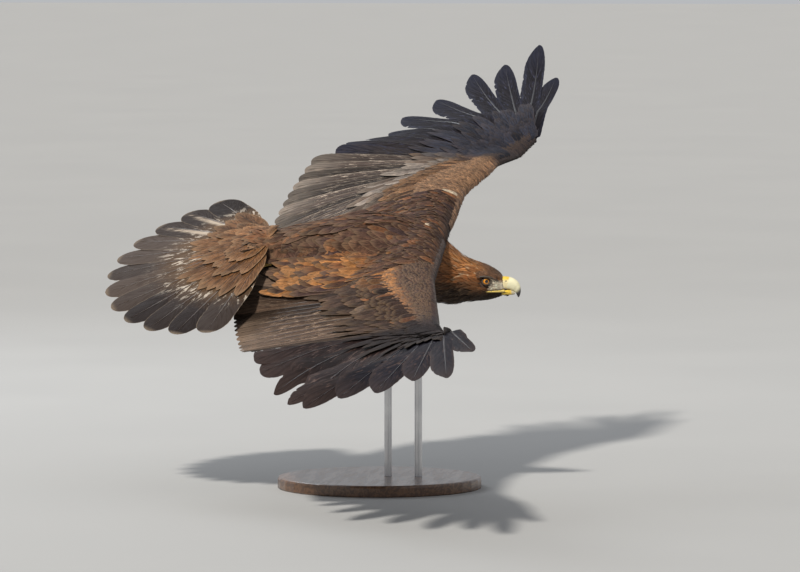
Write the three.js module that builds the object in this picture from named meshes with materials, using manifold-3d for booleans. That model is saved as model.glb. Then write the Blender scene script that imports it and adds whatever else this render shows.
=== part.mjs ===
// Golden eagle in banking flight on a display stand, life size.
// Millimetres, +Z up. The bird faces -Y, its right wing points to -X.
// The origin is the centre of the stand base's underside.
import * as THREE from 'three';
import { mergeVertices } from 'three/addons/utils/BufferGeometryUtils.js';
import Module from 'manifold-3d';

const wasm = await Module();
wasm.setup();

const DEG = Math.PI / 180;
const GAP = 0.3;                      // clear space between neighbouring pieces

// Pose
const FLIGHT_HEIGHT = 500;            // middle of the shoulders above the floor
const SHOULDER_Y = -95;               // puts the bird's weight over the base
const ROLL = 15.8 * DEG;              // bank, right wing down
const WING_PITCH = 5.9 * DEG;         // nose-up angle of the wings' frame
const HEAD_YAW = 5 * DEG;             // the head looks a little to the left

// Stand
const BASE_RADIUS = 215;
const BASE_THICKNESS = 24;
const BASE_EDGE = 5;
const BASE_SIDES = 36;
const ROD_RADIUS = 8;
const ROD_FRONT_Y = -82;               // both rods meet the breast ahead of the thighs
const ROD_BACK_Y = -18;
const ROD_SIDES = 20;

// Wing bones
const SHOULDER_HALF = 82;
const SHOULDER_UP = 30;
const HUMERUS = 190;
const ULNA = 225;
const METACARPUS = 105;
const DIGITS = 65;

// Knots of the dihedral and incidence along the unrolled span
const SPAN_KNOTS = [0, 100, 270, 420, 600, 1100];

const WING_RIGHT = {
  name: 'right', side: 1,
  humerus: -29, forearm: 37, hand: 23,
  dihedral: [-6, -6, -12, 9, 9, 8],
  incidence: [0, 8, 5, -2, 17, 17],
  camber: 14,
  swing: [15.8, 20, 30, 46, 61.8, 72.8, 83.9, 91.4, 97.9, 104.7],
  reach: 1.02, secondaryReach: 1.01, secondarySwing: [6.4, -22.3],
};
const WING_LEFT = {
  name: 'left', side: -1,
  humerus: -21, forearm: 46.5, hand: 31,
  dihedral: [7.6, 7.6, 2.1, 6.5, -7.4, 10.7],
  incidence: [-3, 3.4, -3.3, -10, 6.6, 6.6],
  camber: 32,
  swing: [10.2, 18.3, 28, 42.7, 53.2, 63.6, 74, 81.1, 88.2, 93.1],
  reach: 0.97, secondaryReach: 1.03, secondarySwing: [5.3, -26.2],
};

// Flight feathers: free length from the bone to the tip, P1 to P10
const PRIMARY_LENGTH = [350, 350, 355, 390, 465, 480, 553, 553, 628, 422];
const PRIMARY_WIDTH = [50, 50, 52, 54, 56, 54, 50, 48, 44, 38];
const VANE_OFFSET = 0.16;             // a finger's shaft lies nearer its front edge, by this share of its width
const PRIMARY_SPLIT = [0.9, 0.88, 0.84, 0.8, 0.74, 0.64, 0.56, 0.52, 0.5, 0.56];
const SECONDARIES = 13;
const TERTIALS = 5;
const SECONDARY_LENGTH = [368, 338];
const TERTIAL_LENGTH = [340, 285];
const TERTIAL_SWING = -14;            // the innermost lies almost along the body
const SECONDARY_SPLIT = 0.94;
const TIP_SHARE = 0.42;               // half width of a closed feather's tip, of the room beside it

// Tail fan
const RECTRICES = 12;
const TAIL_ROOT = { forward: -322, up: 17 };
const TAIL_SLOPE = 14.1 * DEG;
const TAIL_HALF_FAN = 73.8 * DEG;
const TAIL_ROLL = 23.7 * DEG;
const TAIL_YAW = 5.2 * DEG;            // towards the right wing
const TAIL_ARCH = 20;                 // droop of the outer feathers at 300 mm from the middle
const TAIL_LENGTH = [371, 333];
const TAIL_WIDTH = 58;
const TAIL_SPLIT = 0.86;

// Head, measured from the point of the midline between the eyes
const HEAD_AT = { forward: 128, up: -62 };
const EYE_RADIUS = 10;
const EYE_SIDE = 25.5;
const EYE_SIDES = 12;
const EYE_BANDS = 9;

function rollPlace(right, forward, up, roll = ROLL) {
  const x = right * Math.cos(roll) + up * Math.sin(roll);
  const z = up * Math.cos(roll) - right * Math.sin(roll);
  return new THREE.Vector3(-x, SHOULDER_Y - forward, FLIGHT_HEIGHT + z);
}

function wingFramePlace(right, forward, up) {
  const c = Math.cos(WING_PITCH);
  const s = Math.sin(WING_PITCH);
  return rollPlace(right, forward * c - up * s, forward * s + up * c);
}

function headPlace(forward, side, up) {
  const f = forward * Math.cos(HEAD_YAW) + side * Math.sin(HEAD_YAW);
  const r = side * Math.cos(HEAD_YAW) - forward * Math.sin(HEAD_YAW);
  return rollPlace(r, HEAD_AT.forward + f, HEAD_AT.up + up, 0);
}

function interpolate(knots, values, at) {
  if (at <= knots[0]) return values[0];
  for (let i = 1; i < knots.length; i += 1) {
    if (at <= knots[i]) {
      const t = (at - knots[i - 1]) / (knots[i] - knots[i - 1]);
      return values[i - 1] + (values[i] - values[i - 1]) * t;
    }
  }
  return values[values.length - 1];
}

function mix(a, b, t) {
  return a + (b - a) * t;
}

function closedGeometry(positions, triangles) {
  const geometry = new THREE.BufferGeometry();
  geometry.setAttribute('position', new THREE.Float32BufferAttribute(positions.flatMap((p) => [p.x, p.y, p.z]), 3));
  geometry.setIndex(triangles.flat());
  return geometry;
}

// A closed body through rings of equal point count, with a fan at each end
function loft(rings) {
  const count = rings[0].length;
  const points = rings.flat();
  const triangles = [];
  for (let r = 0; r < rings.length - 1; r += 1) {
    for (let i = 0; i < count; i += 1) {
      const a = r * count + i;
      const b = r * count + (i + 1) % count;
      triangles.push([a, b, b + count], [a, b + count, a + count]);
    }
  }
  const addCap = (ring, start, flip) => {
    const centre = new THREE.Vector3();
    ring.forEach((p) => centre.add(p));
    centre.divideScalar(count);
    const middle = points.push(centre) - 1;
    for (let i = 0; i < count; i += 1) {
      const a = start + i;
      const b = start + (i + 1) % count;
      triangles.push(flip ? [middle, a, b] : [middle, b, a]);
    }
  };
  addCap(rings[0], 0, false);
  addCap(rings[rings.length - 1], (rings.length - 1) * count, true);
  return outward(closedGeometry(points, triangles));
}

function signedVolume(geometry) {
  const p = geometry.attributes.position;
  const index = geometry.index;
  const a = new THREE.Vector3();
  const b = new THREE.Vector3();
  const c = new THREE.Vector3();
  let sum = 0;
  for (let i = 0; i < index.count; i += 3) {
    a.fromBufferAttribute(p, index.getX(i));
    b.fromBufferAttribute(p, index.getX(i + 1));
    c.fromBufferAttribute(p, index.getX(i + 2));
    sum += a.dot(b.cross(c));
  }
  return sum;
}

function outward(geometry) {
  if (signedVolume(geometry) > 0) return geometry;
  const index = geometry.index.array;
  for (let i = 0; i < index.length; i += 3) {
    const keep = index[i + 1];
    index[i + 1] = index[i + 2];
    index[i + 2] = keep;
  }
  return geometry;
}

function toSolid(geometry) {
  const bare = geometry.clone();
  bare.deleteAttribute('normal');
  bare.deleteAttribute('uv');
  const merged = mergeVertices(bare, 1e-3);
  const mesh = new wasm.Mesh({
    numProp: 3,
    vertProperties: new Float32Array(merged.attributes.position.array),
    triVerts: new Uint32Array(merged.index.array),
  });
  return new wasm.Manifold(mesh);
}

function fromSolid(solid) {
  const mesh = solid.getMesh();
  const geometry = new THREE.BufferGeometry();
  geometry.setAttribute('position', new THREE.Float32BufferAttribute(mesh.vertProperties, 3));
  geometry.setIndex(new THREE.BufferAttribute(new Uint32Array(mesh.triVerts), 1));
  return geometry;
}

function largestPiece(solid) {
  const pieces = solid.decompose();
  return pieces.reduce((best, piece) => (piece.volume() > best.volume() ? piece : best));
}

function cut(geometry, ...cutters) {
  let solid = toSolid(geometry);
  cutters.forEach((cutter) => {
    solid = solid.subtract(toSolid(cutter));
  });
  return fromSolid(largestPiece(solid));
}

function join(...geometries) {
  const solids = geometries.map(toSolid);
  return fromSolid(solids.reduce((all, solid) => all.add(solid)));
}

const group = new THREE.Group();

function addPiece(name, geometry, color, roughness, metalness = 0) {
  const material = new THREE.MeshStandardMaterial({ color, roughness, metalness, flatShading: true });
  const mesh = new THREE.Mesh(geometry, material);
  mesh.name = name;
  group.add(mesh);
}

// Trunk and neck: egg-shaped sections along the body's length.
// Each row: forward, centre height, half width, half height above and below, share of the bank.
const BODY_RINGS = [
  [84, -57, 37, 46, 47, 0.1],
  [68, -53, 46, 52, 55, 0.3],
  [52, -47, 58, 59, 63, 0.6],
  [34, -38, 72, 66, 68, 0.9],
  [2, -24, 90, 74, 82, 1],
  [-40, -12, 98, 76, 88, 1],
  [-90, -4, 97, 72, 86, 1],
  [-140, 0, 90, 64, 76, 1],
  [-190, 3, 78, 54, 62, 1],
  [-235, 8, 66, 44, 46, 1],
  [-275, 13, 56, 33, 34, 1],
  [-312, 16, 44, 22, 22, 1],
];
const BODY_SIDES = 20;
const NECK_RINGS = 3;

function bodyRing([forward, centre, half, above, below, bank], grow = 0) {
  const ring = [];
  for (let i = 0; i < BODY_SIDES; i += 1) {
    const t = (i / BODY_SIDES) * 2 * Math.PI;
    const side = Math.cos(t) * (half + grow);
    const up = Math.sin(t) * ((Math.sin(t) > 0 ? above : below) + grow);
    const offset = rollPlace(side, 0, up, ROLL * bank);
    ring.push(new THREE.Vector3(
      offset.x - rollPlace(0, 0, 0).x, SHOULDER_Y - forward, offset.z + centre,
    ));
  }
  return ring;
}

function bodyLoft(rows, grow = 0) {
  return loft(rows.map((row) => bodyRing(row, grow)));
}

function shifted(row, by) {
  return [row[0] + by, ...row.slice(1)];
}

const trunkRows = BODY_RINGS.slice(NECK_RINGS);
const trunk = bodyLoft(trunkRows);
const neckBack = shifted(BODY_RINGS[NECK_RINGS], GAP);
const neck = bodyLoft([...BODY_RINGS.slice(0, NECK_RINGS), neckBack]);
const bodyCutter = bodyLoft([
  shifted(BODY_RINGS[0], GAP), ...BODY_RINGS.slice(1, -1), shifted(BODY_RINGS[BODY_RINGS.length - 1], -GAP),
], GAP);

addPiece('neck', neck, '#8a5a2c', 0.8);

// Head: forward of the eye line, top, bottom, half width
const HEAD_RINGS = [
  [-43.5, 47, -39, 37],
  [-28, 44, -41, 37],
  [-10, 38.5, -40.5, 35.5],
  [8, 32, -38.5, 31.5],
  [22, 24, -35, 26],
  [33, 15.5, -31, 19.5],
  [38, 11, -27, 15.5],
];
const HEAD_SIDES = 20;

function headRing(forward, top, bottom, half) {
  const middle = (top + bottom) / 2;
  const height = (top - bottom) / 2;
  const ring = [];
  for (let i = 0; i < HEAD_SIDES; i += 1) {
    const t = (i / HEAD_SIDES) * 2 * Math.PI;
    ring.push(headPlace(forward, Math.cos(t) * half, middle + Math.sin(t) * height));
  }
  return ring;
}

function eyeball(side, radius) {
  const ball = new THREE.SphereGeometry(radius, EYE_SIDES, EYE_BANDS);
  const at = headPlace(0, side * EYE_SIDE, 0);
  ball.translate(at.x, at.y, at.z);
  return ball;
}

function sphereSolid(geometry) {
  const bare = geometry.clone();
  bare.deleteAttribute('normal');
  bare.deleteAttribute('uv');
  return mergeVertices(bare, 1e-3);
}

const neckCutter = bodyLoft([shifted(BODY_RINGS[0], GAP), ...BODY_RINGS.slice(1, NECK_RINGS + 1)], GAP);
let head = loft(HEAD_RINGS.map((row) => headRing(...row)));
head = cut(head, neckCutter, eyeball(1, EYE_RADIUS + GAP), eyeball(-1, EYE_RADIUS + GAP));
addPiece('head', head, '#7a4a24', 0.8);
addPiece('eye_right', sphereSolid(eyeball(1, EYE_RADIUS)), '#c98a1e', 0.1);
addPiece('eye_left', sphereSolid(eyeball(-1, EYE_RADIUS)), '#c98a1e', 0.1);

// Bill: sections along the arc of the hook, each with its own tilt
const UPPER_BILL = [
  { x: 38.4, z: -5, half: 13.5, tall: 14.5, tilt: 0 },
  { x: 47, z: -4.5, half: 11.5, tall: 13.5, tilt: 6 },
  { x: 56, z: -6.5, half: 9.5, tall: 12.5, tilt: 18 },
  { x: 64, z: -12, half: 7, tall: 10.5, tilt: 38 },
  { x: 68.5, z: -20, half: 4.6, tall: 7, tilt: 64 },
  { x: 70, z: -28, half: 2.8, tall: 4, tilt: 82 },
  { x: 70, z: -34.5, half: 1, tall: 1.4, tilt: 95 },
];
const LOWER_BILL = [
  { x: 38.4, z: -25.5, half: 11, tall: 5.4, tilt: 0 },
  { x: 48, z: -26.3, half: 8.5, tall: 5, tilt: -2 },
  { x: 57, z: -26.2, half: 6, tall: 4, tilt: -4 },
  { x: 62, z: -25.6, half: 3.2, tall: 2.4, tilt: -6 },
];
const BILL_SIDES = 14;

function billRing({ x, z, half, tall, tilt }) {
  const ring = [];
  for (let i = 0; i < BILL_SIDES; i += 1) {
    const t = (i / BILL_SIDES) * 2 * Math.PI;
    const up = Math.sin(t) * tall;
    ring.push(headPlace(x + up * Math.sin(tilt * DEG), Math.cos(t) * half, z + up * Math.cos(tilt * DEG)));
  }
  return ring;
}

const upperBill = loft(UPPER_BILL.map(billRing));
const upperBillGrown = loft(UPPER_BILL.map((row) => billRing({ ...row, half: row.half + GAP, tall: row.tall + GAP })));
addPiece('bill_upper', upperBill, '#b9b08a', 0.35);
addPiece('bill_lower', cut(loft(LOWER_BILL.map(billRing)), upperBillGrown), '#c9b45a', 0.35);

// Wing: a flat planform (outward, forward) wrapped on a bent, twisted span
class Wing {
  constructor(spec) {
    Object.assign(this, spec);
    const at = (length, angle) => [length * Math.cos(angle * DEG), length * Math.sin(angle * DEG)];
    const plus = (p, q) => [p[0] + q[0], p[1] + q[1]];
    this.shoulder = [0, 0];
    this.elbow = at(HUMERUS, this.humerus);
    this.wrist = plus(this.elbow, at(ULNA, this.forearm));
    this.knuckle = plus(this.wrist, at(METACARPUS, this.hand));
    this.fingertip = plus(this.knuckle, at(DIGITS, this.hand));
    this.table = [[0, 0]];
    this.step = 5;
    for (let a = 0; a < 1400; a += this.step) {
      const d = interpolate(SPAN_KNOTS, this.dihedral, a + this.step / 2) * DEG;
      const [x, z] = this.table[this.table.length - 1];
      this.table.push([x + Math.cos(d) * this.step, z + Math.sin(d) * this.step]);
    }
  }

  place(outwardBy, forward, height) {
    const span = Math.max(outwardBy, 0);
    const d = interpolate(SPAN_KNOTS, this.dihedral, span) * DEG;
    const incidence = interpolate(SPAN_KNOTS, this.incidence, span) * DEG;
    const at = span / this.step;
    const i = Math.min(Math.floor(at), this.table.length - 2);
    const x = mix(this.table[i][0], this.table[i + 1][0], at - i) + Math.min(outwardBy, 0);
    const z = mix(this.table[i][1], this.table[i + 1][1], at - i);
    const arch = -this.camber * (forward < 0 ? 1 : 2.2) * (forward / 350) ** 2;
    const h = height + arch;
    const lift = forward * Math.sin(incidence) + h * Math.cos(incidence);
    const along = forward * Math.cos(incidence) - h * Math.sin(incidence);
    const right = this.side * (SHOULDER_HALF + x - Math.sin(d) * lift);
    return wingFramePlace(right, along, SHOULDER_UP + z + Math.cos(d) * lift);
  }

  feathers() {
    const list = [];
    const between = (p, q, t) => [mix(p[0], q[0], t), mix(p[1], q[1], t)];
    const [swingFirst, swingLast] = this.secondarySwing;
    for (let k = TERTIALS; k >= 1; k -= 1) {
      const t = k / TERTIALS;
      list.push({
        root: between(this.elbow, this.shoulder, t * 0.8), swing: mix(swingLast, TERTIAL_SWING, t),
        length: mix(TERTIAL_LENGTH[0], TERTIAL_LENGTH[1], t), width: 44, split: SECONDARY_SPLIT, part: 'upper_arm',
      });
    }
    for (let k = SECONDARIES; k >= 1; k -= 1) {
      const t = (k - 1) / (SECONDARIES - 1);
      list.push({
        root: between(this.wrist, this.elbow, 0.02 + 0.96 * t), swing: mix(swingFirst, swingLast, t),
        length: mix(SECONDARY_LENGTH[0], SECONDARY_LENGTH[1], t) * this.secondaryReach, width: 46,
        split: SECONDARY_SPLIT, part: 'forearm',
      });
    }
    for (let k = 1; k <= 10; k += 1) {
      const root = k <= 6
        ? between(this.wrist, this.knuckle, 0.08 + 0.84 * (k - 1) / 5)
        : between(this.knuckle, this.fingertip, (k - 6) / 4);
      list.push({
        root, swing: this.swing[k - 1], length: PRIMARY_LENGTH[k - 1] * this.reach,
        width: PRIMARY_WIDTH[k - 1], split: PRIMARY_SPLIT[k - 1], part: 'hand',
      });
    }
    list.forEach((feather) => {
      const s = feather.swing * DEG;
      feather.direction = [Math.sin(s), -Math.cos(s)];
      feather.across = [Math.cos(s), Math.sin(s)];
    });
    return list;
  }

  // Front edge of the wing beside a bone point, from the body out to the last finger
  leadingEdge(t) {
    const stops = [
      [-20, 52], [this.wrist[0] * 0.45, 24 + this.wrist[1] * 0.45], [this.wrist[0] * 0.8, 22 + this.wrist[1] * 0.9],
      [this.wrist[0] + 12, this.wrist[1] + 30], [this.knuckle[0] + 4, this.knuckle[1] + 20],
      [this.fingertip[0] + 6, this.fingertip[1] + 12],
    ];
    const at = t * (stops.length - 1);
    const i = Math.min(Math.floor(at), stops.length - 2);
    return [mix(stops[i][0], stops[i + 1][0], at - i), mix(stops[i][1], stops[i + 1][1], at - i)];
  }
}

// A closed slab from flat triangles: each vertex has its own thickness above and below
function slab(vertices, triangles, place) {
  const count = vertices.length;
  const points = [
    ...vertices.map((v) => place(v.a, v.f, v.up)),
    ...vertices.map((v) => place(v.a, v.f, -v.down)),
  ];
  const faces = [];
  const edges = new Map();
  triangles.forEach(([i, j, k]) => {
    faces.push([i, j, k], [i + count, k + count, j + count]);
    [[i, j], [j, k], [k, i]].forEach(([p, q]) => {
      const twin = `${q},${p}`;
      if (edges.has(twin)) edges.delete(twin);
      else edges.set(`${p},${q}`, [p, q]);
    });
  });
  edges.forEach(([p, q]) => {
    faces.push([p, p + count, q + count], [p, q + count, q]);
  });
  return outward(closedGeometry(points, faces));
}

// Rows of the arm from the leading edge back to the bone, and their share of its thickness
const ARM_ROWS = [0, 0.4, 1];
const ARM_SHAPE = [0.12, 0.88, 1];

// Thickness of flesh and coverts around the bones, outward along the span
function armThickness(wing, a) {
  const knots = [0, 90, wing.elbow[0], wing.wrist[0], wing.knuckle[0], wing.fingertip[0]];
  return interpolate(knots, [30, 24, 17, 12, 7.5, 4], a);
}

function wingSection(wing, feathers, first, last) {
  const vertices = [];
  const triangles = [];
  const total = feathers.length;
  const add = (a, f, up, down) => vertices.push({ a, f, up, down }) - 1;
  const seam = (k) => {
    // boundary between feather k-1 and k: points from the leading edge back to the split
    const inner = feathers[Math.max(k - 1, 0)];
    const outer = feathers[Math.min(k, total - 1)];
    const edge = k === 0 ? -1 : k === total ? 1 : 0;
    const root = [0, 1].map((i) => (inner.root[i] + outer.root[i]) / 2);
    const along = [0, 1].map((i) => (inner.direction[i] + outer.direction[i]) / 2);
    const norm = Math.hypot(...along);
    const across = [0, 1].map((i) => (inner.across[i] + outer.across[i]) / 2);
    const reach = (inner.length * inner.split + outer.length * outer.split) / 2;
    const offset = edge * inner.width * (edge > 0 ? 0.22 : 0.5);
    const nudge = (k === first ? 1 : k === last ? -1 : 0) * (k > 0 && k < total ? GAP * 0.7 : 0);
    const lead = wing.leadingEdge(k / total);
    const points = [];
    const thick = armThickness(wing, root[0]);
    ARM_ROWS.forEach((t, i) => {
      points.push([
        mix(lead[0], root[0] + across[0] * offset, t) + across[0] * nudge,
        mix(lead[1], root[1] + across[1] * offset, t) + across[1] * nudge,
        thick * ARM_SHAPE[i],
      ]);
    });
    const tail = [0.14, 0.42, 1];
    const thin = [0.55, 0.13, 0.05];
    tail.forEach((t, i) => {
      points.push([
        root[0] + (along[0] / norm) * reach * t + across[0] * (offset + nudge),
        root[1] + (along[1] / norm) * reach * t + across[1] * (offset + nudge),
        Math.max(thick * thin[i], 0.9),
      ]);
    });
    return points;
  };
  const rows = [];
  const shafts = [];
  for (let k = first; k <= last; k += 1) {
    rows.push(seam(k).map(([a, f, h]) => add(a, f, h, h)));
  }
  for (let k = first; k < last; k += 1) {
    const left = rows[k - first];
    const right = rows[k - first + 1];
    const feather = feathers[k];
    const middle = left.map((v, i) => {
      const p = vertices[v];
      const q = vertices[right[i]];
      return add((p.a + q.a) / 2, (p.f + q.f) / 2, (p.up + q.up) / 2, (p.down + q.down) / 2);
    });
    shafts.push(middle);
    for (let i = 0; i < left.length - 1; i += 1) {
      triangles.push([left[i], middle[i], middle[i + 1]], [left[i], middle[i + 1], left[i + 1]]);
      triangles.push([middle[i], right[i], right[i + 1]], [middle[i], right[i + 1], middle[i + 1]]);
    }
    // free part of the feather, from the split to its rounded tip
    const end = left.length - 1;
    const start = vertices[middle[end]];
    const tip = [0, 1].map((i) => feather.root[i] + feather.direction[i] * feather.length);
    const finger = k >= total - 5;
    const stops = finger ? [0.3, 0.62, 0.86] : [0.5];
    const widths = finger ? [0.5, 0.47, 0.3] : [0.42];
    let previous = [left[end], middle[end], right[end]];
    const room = Math.min(...[k - 1, k + 1].filter((n) => n >= 0 && n < total).map((n) => {
      const other = feathers[n];
      const apart = [0, 1].map((i) => other.root[i] + other.direction[i] * other.length - tip[i]);
      return Math.abs(apart[0] * feather.across[0] + apart[1] * feather.across[1]);
    }));
    stops.forEach((t, i) => {
      const back = finger ? feather.width * VANE_OFFSET * (1 - t * t) : 0;
      const centre = [
        mix(start.a, tip[0], t) - feather.across[0] * back, mix(start.f, tip[1], t) - feather.across[1] * back,
      ];
      const half = Math.min(feather.width * widths[i], finger ? Infinity : room * TIP_SHARE);
      const thin = mix(0.9, 0.6, t);
      const next = [-1, 0, 1].map((s) => add(
        centre[0] + feather.across[0] * half * s, centre[1] + feather.across[1] * half * s, thin, thin,
      ));
      for (let j = 0; j < 2; j += 1) {
        triangles.push([previous[j], previous[j + 1], next[j + 1]], [previous[j], next[j + 1], next[j]]);
      }
      previous = next;
    });
    const apex = add(tip[0], tip[1], 0.5, 0.5);
    triangles.push([previous[0], previous[1], apex], [previous[1], previous[2], apex]);
  }
  return slab(vertices, triangles, (a, f, h) => wing.place(a, f, h));
}

const WING_COLORS = { upper_arm: '#6d4a2e', forearm: '#5e4734', hand: '#2b2523' };

[WING_RIGHT, WING_LEFT].forEach((spec) => {
  const wing = new Wing(spec);
  const feathers = wing.feathers();
  let first = 0;
  ['upper_arm', 'forearm', 'hand'].forEach((part) => {
    const last = first + feathers.filter((feather) => feather.part === part).length;
    let geometry = wingSection(wing, feathers, first, last);
    if (part === 'upper_arm') geometry = cut(geometry, bodyCutter);
    addPiece(`wing_${spec.name}_${part}`, geometry, WING_COLORS[part], 0.7);
    first = last;
  });
});

// Tail: one fan, its feathers parted near the tips
function tailPlace(side, along, thickness) {
  const a = side * Math.cos(TAIL_YAW) - along * Math.sin(TAIL_YAW);
  const f = along * Math.cos(TAIL_YAW) + side * Math.sin(TAIL_YAW);
  const h = thickness - TAIL_ARCH * (a / 300) ** 2;
  const back = -f * Math.cos(TAIL_SLOPE) - h * Math.sin(TAIL_SLOPE);
  const up = f * Math.sin(TAIL_SLOPE) + h * Math.cos(TAIL_SLOPE);
  const x = a * Math.cos(TAIL_ROLL) + up * Math.sin(TAIL_ROLL);
  const z = up * Math.cos(TAIL_ROLL) - a * Math.sin(TAIL_ROLL);
  return new THREE.Vector3(-x, SHOULDER_Y - TAIL_ROOT.forward + back, FLIGHT_HEIGHT + TAIL_ROOT.up + z);
}

function tailFan() {
  const vertices = [];
  const triangles = [];
  const add = (a, f, h) => vertices.push({ a, f, up: h, down: h }) - 1;
  const ray = (angle, reach) => [Math.sin(angle) * reach, -Math.cos(angle) * reach];
  const angleOf = (k) => mix(-TAIL_HALF_FAN, TAIL_HALF_FAN, k / RECTRICES);
  const lengthOf = (angle) => mix(TAIL_LENGTH[0], TAIL_LENGTH[1], (angle / TAIL_HALF_FAN) ** 2);
  const reaches = [0.05, 0.22, 0.4, 0.7, TAIL_SPLIT];
  const heights = [9, 8, 4, 1.2, 0.9];
  const seams = [];
  for (let k = 0; k <= RECTRICES; k += 1) {
    const angle = angleOf(k);
    seams.push(reaches.map((t, i) => add(...ray(angle, lengthOf(angle) * t), heights[i])));
  }
  for (let k = 0; k < RECTRICES; k += 1) {
    const angle = (angleOf(k) + angleOf(k + 1)) / 2;
    const length = lengthOf(angle);
    const middle = reaches.map((t, i) => add(...ray(angle, length * t), heights[i]));
    const left = seams[k];
    const right = seams[k + 1];
    for (let i = 0; i < reaches.length - 1; i += 1) {
      triangles.push([left[i], middle[i], middle[i + 1]], [left[i], middle[i + 1], left[i + 1]]);
      triangles.push([middle[i], right[i], right[i + 1]], [middle[i], right[i + 1], middle[i + 1]]);
    }
    const end = reaches.length - 1;
    const centre = ray(angle, length * mix(TAIL_SPLIT, 1, 0.55));
    const half = TAIL_WIDTH * 0.5;
    const next = [-1, 0, 1].map((s) => add(
      centre[0] + Math.cos(angle) * half * s, centre[1] + Math.sin(angle) * half * s, 0.8,
    ));
    const previous = [left[end], middle[end], right[end]];
    for (let j = 0; j < 2; j += 1) {
      triangles.push([previous[j], previous[j + 1], next[j + 1]], [previous[j], next[j + 1], next[j]]);
    }
    const apex = add(...ray(angle, length), 0.5);
    triangles.push([next[0], next[1], apex], [next[1], next[2], apex]);
  }
  return slab(vertices, triangles, tailPlace);
}

addPiece('tail', cut(tailFan(), bodyCutter), '#4a3a2e', 0.7);

// Legs drawn back under the tail, feet closed
const LEG_SIDE = 38;
const THIGH_RINGS = [
  { forward: -95, up: -62, radius: 20 },
  { forward: -125, up: -68, radius: 35 },
  { forward: -165, up: -68, radius: 34 },
  { forward: -205, up: -56, radius: 27 },
  { forward: -238, up: -44, radius: 22 },
];
const TARSUS_RINGS = [
  { forward: -238.4, up: -44, radius: 17 },
  { forward: -270, up: -41, radius: 14 },
  { forward: -305, up: -40, radius: 13 },
  { forward: -322, up: -41, radius: 15 },
];
const LEG_SIDES = 14;

function legRing(side, { forward, up, radius }) {
  const ring = [];
  for (let i = 0; i < LEG_SIDES; i += 1) {
    const t = (i / LEG_SIDES) * 2 * Math.PI;
    ring.push(rollPlace(side * LEG_SIDE + Math.cos(t) * radius * 0.85, forward, up + Math.sin(t) * radius));
  }
  return ring;
}

// A round tapering tube through points of one toe or claw
function taperedTube(points, radii, sides) {
  const path = new THREE.CatmullRomCurve3(points);
  const steps = radii.length - 1;
  const frames = path.computeFrenetFrames(steps);
  const rings = radii.map((radius, i) => {
    const centre = path.getPointAt(i / steps);
    return Array.from({ length: sides }, (_, j) => {
      const t = (j / sides) * 2 * Math.PI;
      return centre.clone()
        .addScaledVector(frames.normals[i], Math.cos(t) * radius)
        .addScaledVector(frames.binormals[i], Math.sin(t) * radius);
    });
  });
  return loft(rings);
}

// Toes: across from the foot's middle, length, and how far each claw runs on
const TOES = [
  { name: 'inner', across: -0.55, long: 44, claw: 34, back: false },
  { name: 'middle', across: 0, long: 56, claw: 29, back: false },
  { name: 'outer', across: 0.55, long: 42, claw: 25, back: false },
  { name: 'hind', across: 0, long: 34, claw: 38, back: true },
];
const FOOT_AT = { forward: -324, up: -42 };
const TOE_SIDES = 7;
const CLAW_SIDES = 6;

function toePath(side, toe) {
  const at = (along, drop) => {
    const lean = toe.across * (toe.back ? 0 : 1);
    return rollPlace(
      side * LEG_SIDE + side * lean * along * 0.75,
      FOOT_AT.forward - along * (toe.back ? -0.35 : 1),
      FOOT_AT.up - drop,
    );
  };
  const end = toe.long;
  const claw = toe.claw;
  const toePoints = toe.back
    ? [at(-2, 4), at(-4, end * 0.55), at(8, end)]
    : [at(-4, 0), at(end * 0.35, 2), at(end * 0.75, 6), at(end, 14)];
  const last = toe.back ? [8, end] : [end, 14];
  const curl = toe.back
    ? [[-claw * 0.35, claw * 0.45], [-claw * 1.1, claw * 0.62]]
    : [[claw * 0.28, claw * 0.55], [-claw * 0.12, claw * 0.92]];
  const clawPoints = [at(last[0], last[1]), ...curl.map(([da, dd]) => at(last[0] + da, last[1] + dd))];
  return { toePoints, clawPoints };
}

[['left', -1], ['right', 1]].forEach(([name, side]) => {
  const thigh = cut(loft(THIGH_RINGS.map((row) => legRing(side, row))), bodyCutter);
  addPiece(`thigh_${name}`, thigh, '#6b4a2c', 0.8);
  const tarsus = loft(TARSUS_RINGS.map((row) => legRing(side, row)));
  const toes = TOES.map((toe) => taperedTube(toePath(side, toe).toePoints, [9, 8.5, 7.5, 7, 6], TOE_SIDES));
  const foot = cut(join(tarsus, ...toes), bodyCutter);
  const claws = TOES.map((toe) => taperedTube(toePath(side, toe).clawPoints, [5, 4.6, 3.6, 2.2, 0.6], CLAW_SIDES));
  const clawCutters = TOES.map((toe) => taperedTube(
    toePath(side, toe).clawPoints, [5.4, 5, 4, 2.6, 1], CLAW_SIDES,
  ));
  addPiece(`foot_${name}`, cut(foot, ...clawCutters), '#c9a23a', 0.6);
  TOES.forEach((toe, i) => addPiece(`claw_${name}_${toe.name}`, claws[i], '#1a1716', 0.35));
});

// Stand: a round wooden base and two steel rods up to the breast and belly
const baseProfile = [
  [0, 0], [BASE_RADIUS - BASE_EDGE * 0.4, 0], [BASE_RADIUS, BASE_EDGE * 0.4], [BASE_RADIUS, BASE_THICKNESS - BASE_EDGE],
  [BASE_RADIUS - BASE_EDGE * 0.3, BASE_THICKNESS - BASE_EDGE * 0.3], [BASE_RADIUS - BASE_EDGE, BASE_THICKNESS],
  [0, BASE_THICKNESS],
].map(([x, y]) => new THREE.Vector2(x, y));
const base = new THREE.LatheGeometry(baseProfile, BASE_SIDES);
base.rotateX(Math.PI / 2);
addPiece('stand_base', outward(sphereSolid(base)), '#5a3c26', 0.45);

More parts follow.
